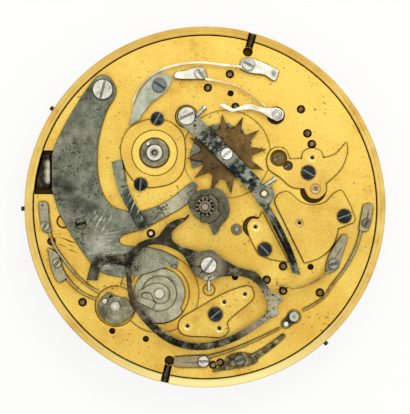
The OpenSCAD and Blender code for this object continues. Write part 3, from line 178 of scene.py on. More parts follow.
def stains_and_painted_light(tree, place, under, ragged, spots):
    """Lays soft round spots over a colour: x, y, inner and outer radius in mm, hex, amount."""
    for x, y, inner, outer, colour, amount in spots:
        away = add(tree, "ShaderNodeVectorMath", {"operation": "SUBTRACT", 1: (x * MM, y * MM, 0.0)},
                   {0: place})
        level = add(tree, "ShaderNodeVectorMath", {"operation": "MULTIPLY", 1: FLAT},
                    {0: away.outputs[0]})
        far = add(tree, "ShaderNodeVectorMath", {"operation": "LENGTH"}, {0: level.outputs[0]})
        wavy = add(tree, "ShaderNodeMath",
                   {"operation": "MULTIPLY_ADD", 1: (outer - inner) * RAGGED * MM},
                   {0: ragged, 2: far.outputs["Value"]})
        soft = (outer - inner) * RAGGED / 2
        share = add(tree, "ShaderNodeMapRange",
                    {"From Min": (inner + soft) * MM, "From Max": (outer + soft) * MM,
                     "To Min": amount, "To Max": 0.0},
                    {"Value": wavy.outputs[0]})
        under = add(tree, "ShaderNodeMix", {"data_type": "RGBA", OVER: linear(colour)},
                    {0: share.outputs[0], UNDER: under}).outputs[MIXED]
    return under


def oil_and_painted_shade(tree, under, colour, depth):
    """Colours corners, slots and holes found by ambient occlusion over the given depth in mm: old oil
    with painted shade when dark, a painted highlight when pale.
    """
    corner = add(tree, "ShaderNodeAmbientOcclusion", {"samples": 8, "Distance": depth * MM})
    share = add(tree, "ShaderNodeMapRange",
                {"From Min": 0.5, "From Max": 0.985, "To Min": 1.0, "To Max": 0.0},
                {"Value": corner.outputs["AO"]})
    return add(tree, "ShaderNodeMix", {"data_type": "RGBA", OVER: linear(colour)},
               {0: share.outputs[0], UNDER: under}).outputs[MIXED]


def scored(tree, place, under, marks):
    """Lays patches of short scratches over a colour: x, y, radius in mm, degrees, hex, amount."""
    for x, y, radius, degrees, colour, amount in marks:
        away = add(tree, "ShaderNodeVectorMath", {"operation": "SUBTRACT", 1: (x * MM, y * MM, 0.0)},
                   {0: place})
        turned = add(tree, "ShaderNodeVectorRotate",
                     {"rotation_type": "Z_AXIS", "Angle": math.radians(-degrees)},
                     {"Vector": away.outputs[0]})
        # Lines 0.3 mm apart and 3 mm long
        drawn = add(tree, "ShaderNodeVectorMath",
                    {"operation": "MULTIPLY", 1: (PER_MM / 3.0, PER_MM / 0.3, 0.0)},
                    {0: turned.outputs[0]})
        lines = add(tree, "ShaderNodeTexNoise", {"Scale": 1.0, "Detail": 1.0},
                    {"Vector": drawn.outputs[0]})
        level = add(tree, "ShaderNodeVectorMath", {"operation": "MULTIPLY", 1: FLAT},
                    {0: away.outputs[0]})
        far = add(tree, "ShaderNodeVectorMath", {"operation": "LENGTH"}, {0: level.outputs[0]})
        near = add(tree, "ShaderNodeMapRange",
                   {"From Min": radius / 2 * MM, "From Max": radius * MM, "To Min": amount,
                    "To Max": 0.0}, {"Value": far.outputs["Value"]})
        sharp = add(tree, "ShaderNodeMapRange", {"From Min": 0.56, "From Max": 0.64},
                    {"Value": lines.outputs["Fac"]})
        share = add(tree, "ShaderNodeMath", {"operation": "MULTIPLY"},
                    {0: near.outputs[0], 1: sharp.outputs[0]})
        under = add(tree, "ShaderNodeMix", {"data_type": "RGBA", OVER: linear(colour)},
                    {0: share.outputs[0], UNDER: under}).outputs[MIXED]
    return under


def fire_gilt(name, light, mid, brown, patch=6.0, seed=0.0, spots=(), speck="#6b4c1c", specks=0.5,
              marks=(), shade_deep_cuts=False):
    """Fire-gilt brass, matte: a soft grainy gold, browner in patches, with specks and hair scratches."""
    material, tree = new_material(name)
    at = add(tree, "ShaderNodeTexCoord").outputs["Object"]
    # The seed moves the patterns, so that no two materials are stained alike
    moved = add(tree, "ShaderNodeVectorMath",
                {"operation": "ADD", 1: (seed * 0.013, seed * 0.007, seed * 0.003)},
                {0: at}).outputs[0]
    # Wear patches, some millimetres wide
    patches = add(tree, "ShaderNodeTexNoise", {"Scale": PER_MM / patch, "Detail": 8.0, "Roughness": 0.66},
                  {"Vector": moved}).outputs["Fac"]
    gold = add(tree, "ShaderNodeValToRGB", {"stops": [(0.33, brown), (0.47, mid), (0.64, light)]},
               {"Fac": patches}).outputs["Color"]
    gold = stains_and_painted_light(tree, at, gold, patches, spots)
    gold = scored(tree, at, gold, marks)
    # Matted grain: really 0.05 mm, drawn at 0.2 mm so that it shows
    grain = add(tree, "ShaderNodeTexNoise", {"Scale": PER_MM / 0.2, "Detail": 2.0},
                {"Vector": moved}).outputs["Fac"]
    grain_tone = add(tree, "ShaderNodeMapRange",
                     {"From Min": 0.3, "From Max": 0.7, "To Min": 0.87, "To Max": 1.1},
                     {"Value": grain}).outputs[0]
    grained = add(tree, "ShaderNodeVectorMath", {"operation": "SCALE"},
                  {0: gold, "Scale": grain_tone}).outputs[0]
    # Tarnish specks of 0.1 to 0.3 mm, a little thicker in clusters some millimetres wide
    clusters = add(tree, "ShaderNodeTexNoise", {"Scale": PER_MM / 4.0, "Detail": 2.0},
                   {"Vector": moved}).outputs["Fac"]
    dots = add(tree, "ShaderNodeTexNoise", {"Scale": PER_MM / 0.4, "Detail": 2.0},
               {"Vector": moved}).outputs["Fac"]
    dense = add(tree, "ShaderNodeMath", {"operation": "MULTIPLY_ADD", 1: 0.4},
                {0: clusters, 2: dots}).outputs[0]
    speck_share = add(tree, "ShaderNodeMapRange",
                      {"From Min": 1.04 - specks * 0.2, "From Max": 1.12 - specks * 0.2, "To Max": 0.75},
                      {"Value": dense}).outputs[0]
    specked = add(tree, "ShaderNodeMix", {"data_type": "RGBA", OVER: linear(speck)},
                  {0: speck_share, UNDER: grained}).outputs[MIXED]
    # Old oil and painted shade in corners, slots and holes
    dirty_and_shaded = oil_and_painted_shade(tree, specked, BRASS_OIL_AND_SHADE, depth=0.3)
    if shade_deep_cuts:
        # Painted shade with old oil: the floors and walls of cuts deeper than a millimetre are darkened
        # towards black
        height = add(tree, "ShaderNodeSeparateXYZ", {}, {0: at}).outputs["Z"]
        below = add(tree, "ShaderNodeMapRange",
                    {"From Min": CUT_CLEAN, "From Max": CUT_BLACK, "To Max": 0.95},
                    {"Value": height}).outputs[0]
        above = add(tree, "ShaderNodeMath", {"operation": "GREATER_THAN", 1: PLATE_BACK},
                    {0: height}).outputs[0]
        both = add(tree, "ShaderNodeMath", {"operation": "MULTIPLY"}, {0: below, 1: above}).outputs[0]
        dirty_and_shaded = add(tree, "ShaderNodeMix", {"data_type": "RGBA", OVER: linear("#1d1207")},
                    {0: both, UNDER: dirty_and_shaded}).outputs[MIXED]
    # Hair scratches from cleaning, 0.25 mm apart and several millimetres long
    across = add(tree, "ShaderNodeMapping",
                 {"Rotation": (0.0, 0.0, 0.6), "Scale": (PER_MM / 0.25, PER_MM / 7.0, 1.0)},
                 {"Vector": moved}).outputs[0]
    scratches = add(tree, "ShaderNodeTexNoise", {"Scale": 1.0, "Detail": 1.0},
                    {"Vector": across}).outputs["Fac"]
    relief = add(tree, "ShaderNodeMath", {"operation": "MULTIPLY_ADD", 1: 0.3},
                 {0: scratches, 2: grain}).outputs[0]
    bump = add(tree, "ShaderNodeBump", {"Strength": 0.35, "Distance": BUMP_DEPTH},
               {"Height": relief}).outputs[0]
    gloss = add(tree, "ShaderNodeMapRange",
                {"From Min": 0.3, "From Max": 0.7, "To Min": 0.45, "To Max": 0.31},
                {"Value": patches}).outputs[0]
    look = add(tree, "ShaderNodeBsdfPrincipled", {"Metallic": 1.0},
               {"Base Color": dirty_and_shaded, "Roughness": gloss, "Normal": bump})
    add(tree, "ShaderNodeOutputMaterial", {}, {"Surface": look.outputs[0]})
    return material


def finish(node, material, edge):
    """Gives a solid of the frame its material and breaks its sharp edges by the given width in mm."""
    piece = cad[node]
    piece.data.materials.clear()
    piece.data.materials.append(material)
    weld = piece.modifiers.new("join", "WELD")
    weld.merge_threshold = 1e-7
    whole = piece.modifiers.new("whole_faces", "DECIMATE")
    whole.decimate_type, whole.angle_limit = "DISSOLVE", math.radians(0.5)
    broken = piece.modifiers.new("broken_edge", "BEVEL")
    broken.width, broken.segments, broken.use_clamp_overlap = edge * MM, 2, False
    broken.limit_method, broken.angle_limit = "ANGLE", math.radians(35)
    even = piece.modifiers.new("even_shading", "WEIGHTED_NORMAL")
    even.keep_sharp = True


# Matte gilding on the plate: warm gold that scatters the light, with dark rings where oil has dried;
# painted lighter towards the top right and darker in patches towards the centre and lower half as the
# light falls, with painted shade in the jumper pivot's recess
plate_gilding = fire_gilt(
    "brass_fire_gilt_matte_plate", "#f0d069", "#e4bf59", "#c99b44", patch=7.0, specks=0.93, shade_deep_cuts=True,
    spots=[(13, 13, 2, 14, "#f1d068", 0.45), (1.5, -5, 1, 8, "#d2a94b", 0.6),
           (-9, -3.5, 1, 6, "#e6bc56", 0.4), (12, -15, 1, 8, "#dcac45", 0.5),
           (-8, -17.5, 1, 6, "#e3b952", 0.5), (-17, -5, 0.5, 4.5, "#d9a844", 0.5),
           (7.2, -4, 0.5, 5, "#d9b04d", 0.4), (-5.5, -11, 2, 6.5, "#dcae4a", 0.45),
           (19, -4, 0.5, 4, "#c99b42", 0.6), (8.85, 11.45, 0.95, 1.15, "#1f1506", 0.95),
           (-2.3, 11.3, 1.44, 1.52, "#5c3f14", 0.9), (-2.3, 11.3, 1.28, 1.36, "#e4bf59", 1.0),
           (-17.7, -1.8, 0.84, 0.95, "#4a3210", 0.85), (-17.7, -1.8, 0.6, 0.72, "#dcae4c", 1.0),
           (11.9, 2.75, 0.05, 0.4, "#3a260c", 0.8), (11.2, 2.95, 0.05, 0.35, "#4a3210", 0.7),
           (13.5, 2.05, 1.48, 1.6, "#2c1b08", 0.95), (6, -2.45, 1.2, 1.3, "#2c1b08", 0.9)],
    marks=[(-17.2, -4.0, 2.4, -20, "#5a3a10", 0.9), (4.5, -17.5, 2.5, 10, "#a87f38", 0.5)])
finish("plate", plate_gilding, 0.05)

# Case ring: a turned brass ring with a ledge under the plate, pressed on from behind. Its top shows the
# lathe's fine circles; it is painted paler at the bottom and left as a painted highlight, and darker at
# the top as painted shade.


def turned_brass(name, light, mid, dark, centre, spacing, spots=()):
    """Turned brass: circles left by the lathe about a centre in mm, browner in corners from old oil and
    painted shade.
    """
    material, tree = new_material(name)
    at = add(tree, "ShaderNodeTexCoord").outputs["Object"]
    from_axis = add(tree, "ShaderNodeVectorMath",
                    {"operation": "SUBTRACT", 1: (centre[0] * MM, centre[1] * MM, 0.0)},
                    {0: at}).outputs[0]
    level = add(tree, "ShaderNodeVectorMath", {"operation": "MULTIPLY", 1: FLAT},
                {0: from_axis}).outputs[0]
    radius = add(tree, "ShaderNodeVectorMath", {"operation": "LENGTH"}, {0: level}).outputs["Value"]
    # The tool's feed, really 0.05 mm a turn, is drawn coarser so that it shows
    circles = add(tree, "ShaderNodeTexNoise",
                  {"noise_dimensions": "1D", "Scale": PER_MM / spacing, "Detail": 2.0},
                  {"W": radius}).outputs["Fac"]
    patches = add(tree, "ShaderNodeTexNoise", {"Scale": PER_MM / 3.5, "Detail": 7.0, "Roughness": 0.62},
                  {"Vector": at}).outputs["Fac"]
    both = add(tree, "ShaderNodeMath", {"operation": "MULTIPLY_ADD", 1: 0.4},
               {0: circles, 2: patches}).outputs[0]
    tone = add(tree, "ShaderNodeValToRGB", {"stops": [(0.48, dark), (0.66, mid), (0.86, light)]},
               {"Fac": both}).outputs["Color"]
    tone = stains_and_painted_light(tree, at, tone, patches, spots)
    # Old oil and painted shade in corners, slots and holes
    dirty_and_shaded = oil_and_painted_shade(tree, tone, BRASS_OIL_AND_SHADE, depth=0.45)
    bump = add(tree, "ShaderNodeBump", {"Strength": 0.3, "Distance": BUMP_DEPTH},
               {"Height": circles}).outputs[0]
    gloss = add(tree, "ShaderNodeMapRange",
                {"From Min": 0.3, "From Max": 0.7, "To Min": 0.44, "To Max": 0.3},
                {"Value": patches}).outputs[0]
    look = add(tree, "ShaderNodeBsdfPrincipled", {"Metallic": 1.0},
               {"Base Color": dirty_and_shaded, "Roughness": gloss, "Normal": bump})
    add(tree, "ShaderNodeOutputMaterial", {}, {"Surface": look.outputs[0]})
    return material


# Bare turned brass: paler and more even than the gilding, with a soft gleam that follows the circles;
# painted highlight at the bottom and left, painted shade at the top
ring_brass = turned_brass(
    "brass_turned_ring", "#e6ca76", "#d9b75f", "#b58b40", centre=(0, 0), spacing=0.3,
    spots=[(2, -24, 5, 19, "#fdf0a6", 0.85), (-24, -6, 2, 12, "#ecd07c", 0.5),
           (9, 21, 3, 15, "#c29a48", 0.75), (-7, 22, 3, 13, "#c79f4c", 0.6)])
finish("case_ring", ring_brass, 0.1)

# Dial-side bridges and chariot: brass plates let into the main plate and gilt with it, so that only their
# outlines show. The barrel's bridge is turned, with a paler disc inside its circle.
BARREL_AXIS = (-6.3, 6.75)
THIRD_AXIS = (6.3, -2.5)
FOURTH_AXIS = (11.8, -2)
ESCAPE_AXIS = (13.8, 2.25)
BALANCE_AXIS = (13.4, 6.15)
REPEAT_AXES = [(-2.2, -14.9), (1.8, -15.2), (2.4, -11.9), (5, -10.9)]
pivot_shine = [(*axis, 0.42, 0.62, "#f7e492", 0.65) for axis in (BALANCE_AXIS, *REPEAT_AXES)]
# Matte gilding on the bridges: the plate's gold, a little browner, rubbed bright round the pivots
bridge_gilding = fire_gilt(
    "brass_fire_gilt_matte_bridges", "#eccb66", "#dfbb58", "#c59843", patch=5.0, seed=3.0, specks=0.7,
    spots=[(13, 5, 1, 5, "#e8c867", 0.6), (12.5, -3.5, 2, 6, "#dcb754", 0.5),
           (*THIRD_AXIS, 0.5, 0.75, "#fae899", 0.75), (*FOURTH_AXIS, 0.5, 0.62, "#8f6f33", 0.7),
           (*FOURTH_AXIS, 0.36, 0.5, "#e9d08a", 0.8), (*ESCAPE_AXIS, 0.6, 0.75, "#8a6a34", 0.8),
           (*ESCAPE_AXIS, 0.42, 0.58, "#e2bf86", 0.8), *pivot_shine])
for name in ("repeat_bridge_front", "third_bridge", "fourth_bridge", "chariot"):
    finish(name, bridge_gilding, 0.08)
# Gilding over turned brass: smoother and brighter, with a dark circle round the barrel's arbor
cap_gilding = fire_gilt(
    "brass_fire_gilt_turned_cap", "#ecc962", "#e1bb57", "#cba049", patch=5.0, seed=5.0, specks=0.6,
    spots=[(*BARREL_AXIS, 2.6, 2.8, "#f3d36c", 0.8), (*BARREL_AXIS, 1.9, 2.0, "#4a3512", 0.8)])
finish("barrel_cap", cap_gilding, 0.03)

# Back bridges, cocks and drum: heavier gilt brass on feet behind the train, each screwed from behind. The
# drum of the repeating spring is turned.
DRUM_AXIS = (-5.7, -10.8)
# Matte gilding that has stayed cleaner behind the plate: a fresher, lighter gold
back_gilding = fire_gilt("brass_fire_gilt_matte_back", "#f3d46c", "#e4be5a", "#c29543", seed=8.0)
for name in ("barrel_bridge", "train_bridge", "escape_cock", "balance_cock", "repeat_bridge"):
    finish(name, back_gilding, 0.1)
# Bare turned brass: fine circles about the drum's own axis
drum_brass = turned_brass("brass_turned_drum", "#eed27a", "#d8b454", "#a87e34", DRUM_AXIS, spacing=0.35)
finish("repeat_drum", drum_brass, 0.06)

# Barrel, lid, mainspring and arbor: a toothed brass box with a coiled blade of blued steel in it, on a
# turned steel arbor whose polished end stands out of the bridge.
# Bare turned brass: fine circles about the barrel's own axis
barrel_brass = turned_brass("brass_turned_barrel", "#f0d67c", "#dcb858", "#ab8136", BARREL_AXIS,
                            spacing=0.35)
finish("barrel", barrel_brass, 0.02)
finish("barrel_lid", barrel_brass, 0.03)
STEPS_A_TURN = 72
STUD_HALF_DEEP, STUD_HALF_WIDE = 0.2, 0.25


def coil(name, centre, r0, pitch, turns, width, start, low, high, stud=None):
    """Flat ribbon wound outwards from radius r0, in mm and degrees, with a stud between two heights."""
    points, faces = [], []
    steps = int(turns * STEPS_A_TURN)
    for i in range(steps + 1):
        turn = 360 * turns * i / steps
        angle = math.radians(start + turn)
        middle = r0 + pitch * turn / 360
        for radius, height in ((middle - width / 2, low), (middle + width / 2, low),
                               (middle + width / 2, high), (middle - width / 2, high)):
            points.append(((centre[0] + radius * math.cos(angle)) * MM,
                           (centre[1] + radius * math.sin(angle)) * MM, height * MM))
        if i:
            a, b = 4 * (i - 1), 4 * i
            faces += [(a + k, a + (k + 1) % 4, b + (k + 1) % 4, b + k) for k in range(4)]
    faces += [(3, 2, 1, 0), tuple(4 * steps + k for k in range(4))]
    if stud:
        angle = math.radians(start + 360 * turns)
        out = Vector((math.cos(angle), math.sin(angle), 0))
        side = Vector((-math.sin(angle), math.cos(angle), 0))
        middle = Vector((centre[0], centre[1], 0)) + out * (r0 + pitch * turns)
        n = len(points)
        for z in stud:
            for a, b in CORNERS:
                deep, wide = out * (a * STUD_HALF_DEEP), side * (b * STUD_HALF_WIDE)
                points.append(tuple((middle + deep + wide + Vector((0, 0, z))) * MM))
        faces += [(n + 3, n + 2, n + 1, n), (n + 4, n + 5, n + 6, n + 7)]
        faces += [(n + k, n + (k + 1) % 4, n + 4 + (k + 1) % 4, n + 4 + k) for k in range(4)]
    mesh = bpy.data.meshes.new(name)
    mesh.from_pydata(points, [], faces)
    mesh.update()
    piece = bpy.data.objects.new(name, mesh)
    scene.collection.objects.link(piece)
    return piece


def worn_steel(name, light, mid, dark, pit="#2a2a24", patch=2.5, pits=0.5, rough=0.36, seed=0.0, spots=(),
               corner_colour="#14120c", grain=0.9, spread=0.15, marks=()):
    """Hand-finished carbon steel: clouded grey with rust pits, stains and fine stoning scratches."""
    material, tree = new_material(name)
    at = add(tree, "ShaderNodeTexCoord").outputs["Object"]
    moved = add(tree, "ShaderNodeVectorMath",
                {"operation": "ADD", 1: (seed * 0.011, seed * 0.017, seed * 0.005)},
                {0: at}).outputs[0]
    # Stains, some millimetres wide
    stains = add(tree, "ShaderNodeTexNoise", {"Scale": PER_MM / patch, "Detail": 8.0, "Roughness": 0.68},
                 {"Vector": moved}).outputs["Fac"]
    tone = add(tree, "ShaderNodeValToRGB",
               {"stops": [(0.5 - spread, dark), (0.5, mid), (0.5 + spread, light)]},
               {"Fac": stains}).outputs["Color"]
    tone = stains_and_painted_light(tree, at, tone, stains, spots)
    tone = scored(tree, at, tone, marks)
    # Clouding at 0.7 mm, and rust pits of 0.1 to 0.3 mm that lie thicker in fields some millimetres wide
    clouds = add(tree, "ShaderNodeTexNoise", {"Scale": PER_MM / 0.7, "Detail": 6.0, "Roughness": 0.7},
                 {"Vector": moved}).outputs["Fac"]
    cloud_tone = add(tree, "ShaderNodeMapRange",
                     {"From Min": 0.32, "From Max": 0.68,
                      "To Min": 1.0 - 0.3 * pits, "To Max": 1.0 + 0.22 * pits},
                     {"Value": clouds}).outputs[0]
    clouded = add(tree, "ShaderNodeVectorMath", {"operation": "SCALE"},
                  {0: tone, "Scale": cloud_tone}).outputs[0]
    fields = add(tree, "ShaderNodeTexNoise", {"Scale": PER_MM / 3.0, "Detail": 3.0},
                 {"Vector": moved}).outputs["Fac"]
    pocks = add(tree, "ShaderNodeTexNoise", {"Scale": PER_MM / 0.35, "Detail": 3.0, "Roughness": 0.6},
                {"Vector": moved}).outputs["Fac"]
    dense = add(tree, "ShaderNodeMath", {"operation": "MULTIPLY_ADD", 1: 0.7},
                {0: fields, 2: pocks}).outputs[0]
    pit_share = add(tree, "ShaderNodeMapRange",
                    {"From Min": 1.13 - 0.13 * pits, "From Max": 1.22 - 0.13 * pits, "To Max": 0.85},
                    {"Value": dense}).outputs[0]
    pitted = add(tree, "ShaderNodeMix", {"data_type": "RGBA", OVER: linear(pit)},
                 {0: pit_share, UNDER: clouded}).outputs[MIXED]
    # Stoning scratches, really some hundredths of a millimetre apart, drawn at 0.2 mm so that they show
    along = add(tree, "ShaderNodeMapping",
                {"Rotation": (0.0, 0.0, grain), "Scale": (PER_MM / 0.2, PER_MM / 4.0, 1.0)},
                {"Vector": moved}).outputs[0]
    scratches = add(tree, "ShaderNodeTexNoise", {"Scale": 1.0, "Detail": 2.0},
                    {"Vector": along}).outputs["Fac"]
    scratch_tone = add(tree, "ShaderNodeMapRange",
                       {"From Min": 0.3, "From Max": 0.7, "To Min": 0.95, "To Max": 1.05},
                       {"Value": scratches}).outputs[0]
    stoned = add(tree, "ShaderNodeVectorMath", {"operation": "SCALE"},
                 {0: pitted, "Scale": scratch_tone}).outputs[0]
    # Old oil and painted shade in corners, slots and holes; a pale corner colour paints a highlight there
    # instead
    dirty_and_shaded = oil_and_painted_shade(tree, stoned, corner_colour, depth=0.3)
    relief = add(tree, "ShaderNodeMath", {"operation": "MULTIPLY_ADD", 1: -1.5},
                 {0: pit_share, 2: scratches}).outputs[0]
    bump = add(tree, "ShaderNodeBump", {"Strength": 0.3, "Distance": BUMP_DEPTH},
               {"Height": relief}).outputs[0]
    gloss = add(tree, "ShaderNodeMapRange",
                {"From Min": 0.3, "From Max": 0.7, "To Min": rough + 0.1, "To Max": rough - 0.08},
                {"Value": stains}).outputs[0]
    look = add(tree, "ShaderNodeBsdfPrincipled", {"Metallic": 1.0},
               {"Base Color": dirty_and_shaded, "Roughness": gloss, "Normal": bump})
    add(tree, "ShaderNodeOutputMaterial", {}, {"Surface": look.outputs[0]})
    return material


# Blued spring steel: dark blue with a clear gleam along the blade
spring_blue = worn_steel("steel_blued_spring", "#4a5270", "#2f3650", "#1d2233", pits=0.1, rough=0.28)
mainspring = coil("mainspring_blade", BARREL_AXIS, r0=1.75, pitch=0.52, turns=6, width=0.3, start=0,
                  low=-3.8, high=-2.45)
mainspring.data.materials.append(spring_blue)
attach(mainspring, "barrel")
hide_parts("mainspring")
# Polished turned steel: a grey end with a dark turned ring and a bright ring that is a painted highlight
arbor_steel = worn_steel(
    "steel_turned_polished_arbor", "#a5a088", "#8e886e", "#5a5645", patch=1.2, rough=0.26, pits=0.4,
    spots=[(*BARREL_AXIS, 1.02, 1.12, "#5d5a48", 0.7), (*BARREL_AXIS, 0.9, 1.0, "#e2dfd0", 0.9),
           (*BARREL_AXIS, 0.55, 0.66, "#98927c", 0.8), (-7.1, 7.85, 0.2, 0.3, "#e8e6da", 0.8)])
finish("barrel_arbor", arbor_steel, 0.09)

# Going train: crossed-out gilt brass wheels riveted on steel pinions, and the steel escape wheel. The end
# of the centre arbor shows inside the cannon pinion.
PINION = "#8c897c"
# Gilt wheel brass: smooth warm gold, grey at the steel pinion in the middle
wheel_gilding = fire_gilt(
    "brass_gilt_wheels_on_steel", "#f0d272", "#dfba5a", "#b08538", patch=3.0, seed=11.0,
    spots=[(0, 0, 1.05, 1.12, PINION, 1.0), (0, 0, 0.36, 0.42, "#a58f7d", 1.0),
           (*THIRD_AXIS, 0.78, 0.84, PINION, 1.0), (*FOURTH_AXIS, 0.52, 0.58, PINION, 1.0),
           (*BALANCE_AXIS, 0.6, 0.66, PINION, 1.0)])
for name in ("centre_wheel", "third_wheel", "fourth_wheel"):
    finish(name, wheel_gilding, 0.015)
# Hardened and polished steel: light grey, nearly a mirror
escape_steel = worn_steel(
    "steel_hardened_polished", "#c9c9bd", "#9a9a8d", "#5c5c52", patch=1.5, rough=0.25, seed=2.0)
finish("escape_wheel", escape_steel, 0.01)

# Balance and hairspring: a plain gilt brass ring on the steel cylinder, and a flat spiral of blued steel
# pinned to the stud under the cock.
finish("balance", wheel_gilding, 0.03)
hairspring = coil("hairspring_spiral", BALANCE_AXIS, r0=0.68, pitch=0.6, turns=5, width=0.12, start=100,
                  low=-5.85, high=-5.55, stud=(-6.0, -5.5))
hairspring.data.materials.append(spring_blue)
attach(hairspring, "frame")
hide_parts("hairspring")

# Repeating train: small gilt brass wheels riveted on steel pinions that turn between plate and bridge.
# They slow the blows, and the last of them spins the fly, whose vane the air brakes.
PINION_RADII = [(0.55, 0.62), (0.5, 0.56), (0.4, 0.46), (0.4, 0.46)]
# Gilt wheel brass as in the going train, with its own stains
repeat_gilding = fire_gilt(
    "brass_gilt_repeat_wheels", "#f0d272", "#dfba5a", "#b08538", patch=3.0, seed=12.0,
    spots=[(*axis, *radii, PINION, 1.0) for axis, radii in zip(REPEAT_AXES, PINION_RADII)])
for name in ("repeat_great_wheel", "repeat_second_wheel", "repeat_third_wheel", "repeat_fourth_wheel",
             "fly"):
    finish(name, repeat_gilding, 0.015)

# Hammers and gongs: polished steel hammers under the plate, each with a trip on the dial side, and two
# wires of blued steel wound round the movement from one steel block.
# Polished steel, now clouded: brownish grey, with the small heads of the trips' pins, whose bright tops
# are a painted highlight
hammer_steel = worn_steel(
    "steel_polished_hammers", "#aeab92", "#8b886e", "#5c5947", patch=1.6, rough=0.3, seed=4.0, pits=0.9,
    spots=[(-11.2, -12.4, 0.45, 0.6, "#c9c7b8", 0.9), (-11.2, -12.4, 0.1, 0.3, "#f0efe6", 0.9),
           (-12.5, -11.75, 0.25, 0.35, "#e4e2d6", 0.9), (10.6, -14.1, 0.5, 0.9, "#33312a", 0.9),
           (11.1, -13.7, 0.5, 0.66, "#cbc9b8", 0.95), (11.1, -13.7, 0.1, 0.3, "#8f8d7e", 0.9),
           (10.1, -14.6, 0.25, 0.34, "#f0eee4", 0.95)])
for name in ("hour_hammer", "quarter_hammer"):
    finish(name, hammer_steel, 0.05)
# Filed steel: a plain grey with the file's lines
block_steel = worn_steel("steel_filed_block", "#b9b7a4", "#8f8d7c", "#5e5c4f", patch=2.0, seed=5.0)
finish("gong_block", block_steel, 0.02)
finish("gongs", spring_blue, 0.02)

# Repeating lever, push piece and keeper: a broad forged steel lever stoned flat by hand, the pushed
# block with its rounded nose in the plate's slot, and the strip riveted on to keep the lever down.
# Stoned steel: a dull green-grey, dark in rust fields and scratched pale where it was cleaned; lighter
# towards its lower part, with a painted highlight across it at the lower left
lever_steel = worn_steel(
    "steel_forged_stoned_grey", "#8c8f7c", "#7b7e6d", "#5f6254", patch=2.6, pits=1.5, seed=5.0, grain=1.1,
    pit="#33352d", rough=0.42,
    spots=[(-15.5, 11.8, 0.5, 3.4, "#666959", 0.5), (-14.4, 14.6, 0.2, 1.2, "#2f312a", 0.8),
           (-15.6, 13.4, 0.1, 1.1, "#373930", 0.75), (-11.9, 15.4, 0.1, 0.8, "#3b3d34", 0.7),
           (-18.4, 3.4, 0.2, 1.3, "#3d4038", 0.85), (-17.0, 2.4, 0.2, 1.2, "#34372f", 0.85),
           (-16.0, 0.9, 0.2, 1.1, "#41443b", 0.8), (-14.8, -0.2, 0.2, 1.2, "#484b41", 0.75),
           (-13.2, -4.9, 0.5, 2.0, "#b4b7a6", 0.75), (-10.6, -6.3, 0.5, 2.2, "#a9ab95", 0.7),
           (-6.3, -6.8, 0.8, 3.2, "#a3a488", 0.8), (-11.0, -2.0, 0.5, 2.5, "#868a79", 0.6),
           (-4.2, 0.4, 0.8, 3.6, "#bab598", 0.9), (-7.6, -1.6, 0.3, 1.2, "#44453a", 0.7),
           (-15.5, -2.1, 0.2, 0.6, "#6d5a48", 0.6)],
    marks=[(-13.4, -1.9, 2.2, 62, "#c9ccbd", 0.9), (-15.4, 5.5, 4.0, 75, "#5a5d50", 0.6),
           (-11.8, -5.6, 3.2, 8, "#d5d8ca", 0.7)])
finish("repeat_lever", lever_steel, 0.03)
# Filed steel, blackened in its slot: nearly black, with painted grey highlights along the rounded nose
push_steel = worn_steel(
    "steel_filed_polished_nose", "#4a4436", "#2c271d", "#15120c", patch=1.2, pits=0.8, seed=6.0,
    spots=[(-19.65, 3.5, 0.25, 0.7, "#c9c4af", 0.85), (-19.65, 4.4, 0.25, 0.7, "#d4cfba", 0.85),
           (-19.65, 5.3, 0.25, 0.7, "#bab49e", 0.85)])
finish("push_piece", push_steel, 0.02)
# Filed steel strip: grey, nearly black towards its lower end, with pale scratches lengthwise
keeper_steel = worn_steel(
    "steel_filed_grey_strip", "#979b86", "#858975", "#5d6052", patch=1.0, pits=1.0, seed=7.0,
    spots=[(-9.4, 1.2, 0.7, 1.5, "#3d423b", 0.9), (-8.7, -0.5, 0.9, 1.6, "#343a36", 0.9),
           (-7.9, -2.2, 0.3, 1.2, "#171b1b", 0.9), (-10.3, 2.5, 0.08, 0.22, "#0f0f0b", 0.9),
           (-10.0, 2.6, 0.08, 0.22, "#0f0f0b", 0.9), (-9.7, 2.7, 0.08, 0.22, "#0f0f0b", 0.9)],
    marks=[(-9.0, 0.4, 2.6, 68, "#c3cac2", 0.8)])
finish("lever_keeper", keeper_steel, 0.015)

# Chain pulley: a turned steel disc on the front end of the repeating arbor, with a hooked plate on its
# face, stoned flat.
# Turned and stoned steel: pale warm grey, with a patch of brown rust at its left
pulley_steel = worn_steel(
    "steel_turned_pale", "#bdbb9f", "#aaa78a", "#85816a", patch=2.0, pits=0.55, seed=8.0,
    spots=[(*DRUM_AXIS, 0.45, 0.6, "#d8d6c4", 0.8), (-9.0, -11.5, 0.3, 1.1, "#6b5238", 0.8)])
finish("chain_pulley", pulley_steel, 0.03)

# Star wheel and hour snail: a twelve-pointed star of brown bronze, one point for each hour, riveted on
# the stepped steel snail that the lever reads.
# Bronze gone brown: a dull dark surface with a little gold left in it
star_bronze = fire_gilt(
    "bronze_brown_star", "#7c623b", "#685231", "#4c3b24", patch=1.6, seed=14.0, speck="#33271a",
    specks=1.0,
    spots=[(0.6, 4.6, 0.6, 2.6, "#4f4029", 0.7), (-0.6, 7.4, 0.4, 2.2, "#54452e", 0.6)])
finish("star_wheel", star_bronze, 0.05)
# Filed steel: grey and slightly pitted
snail_steel = worn_steel("steel_filed_snail", "#8f8f7a", "#777764", "#56564a", patch=1.5, pits=0.9,
                         seed=9.0)
finish("hour_snail", snail_steel, 0.03)
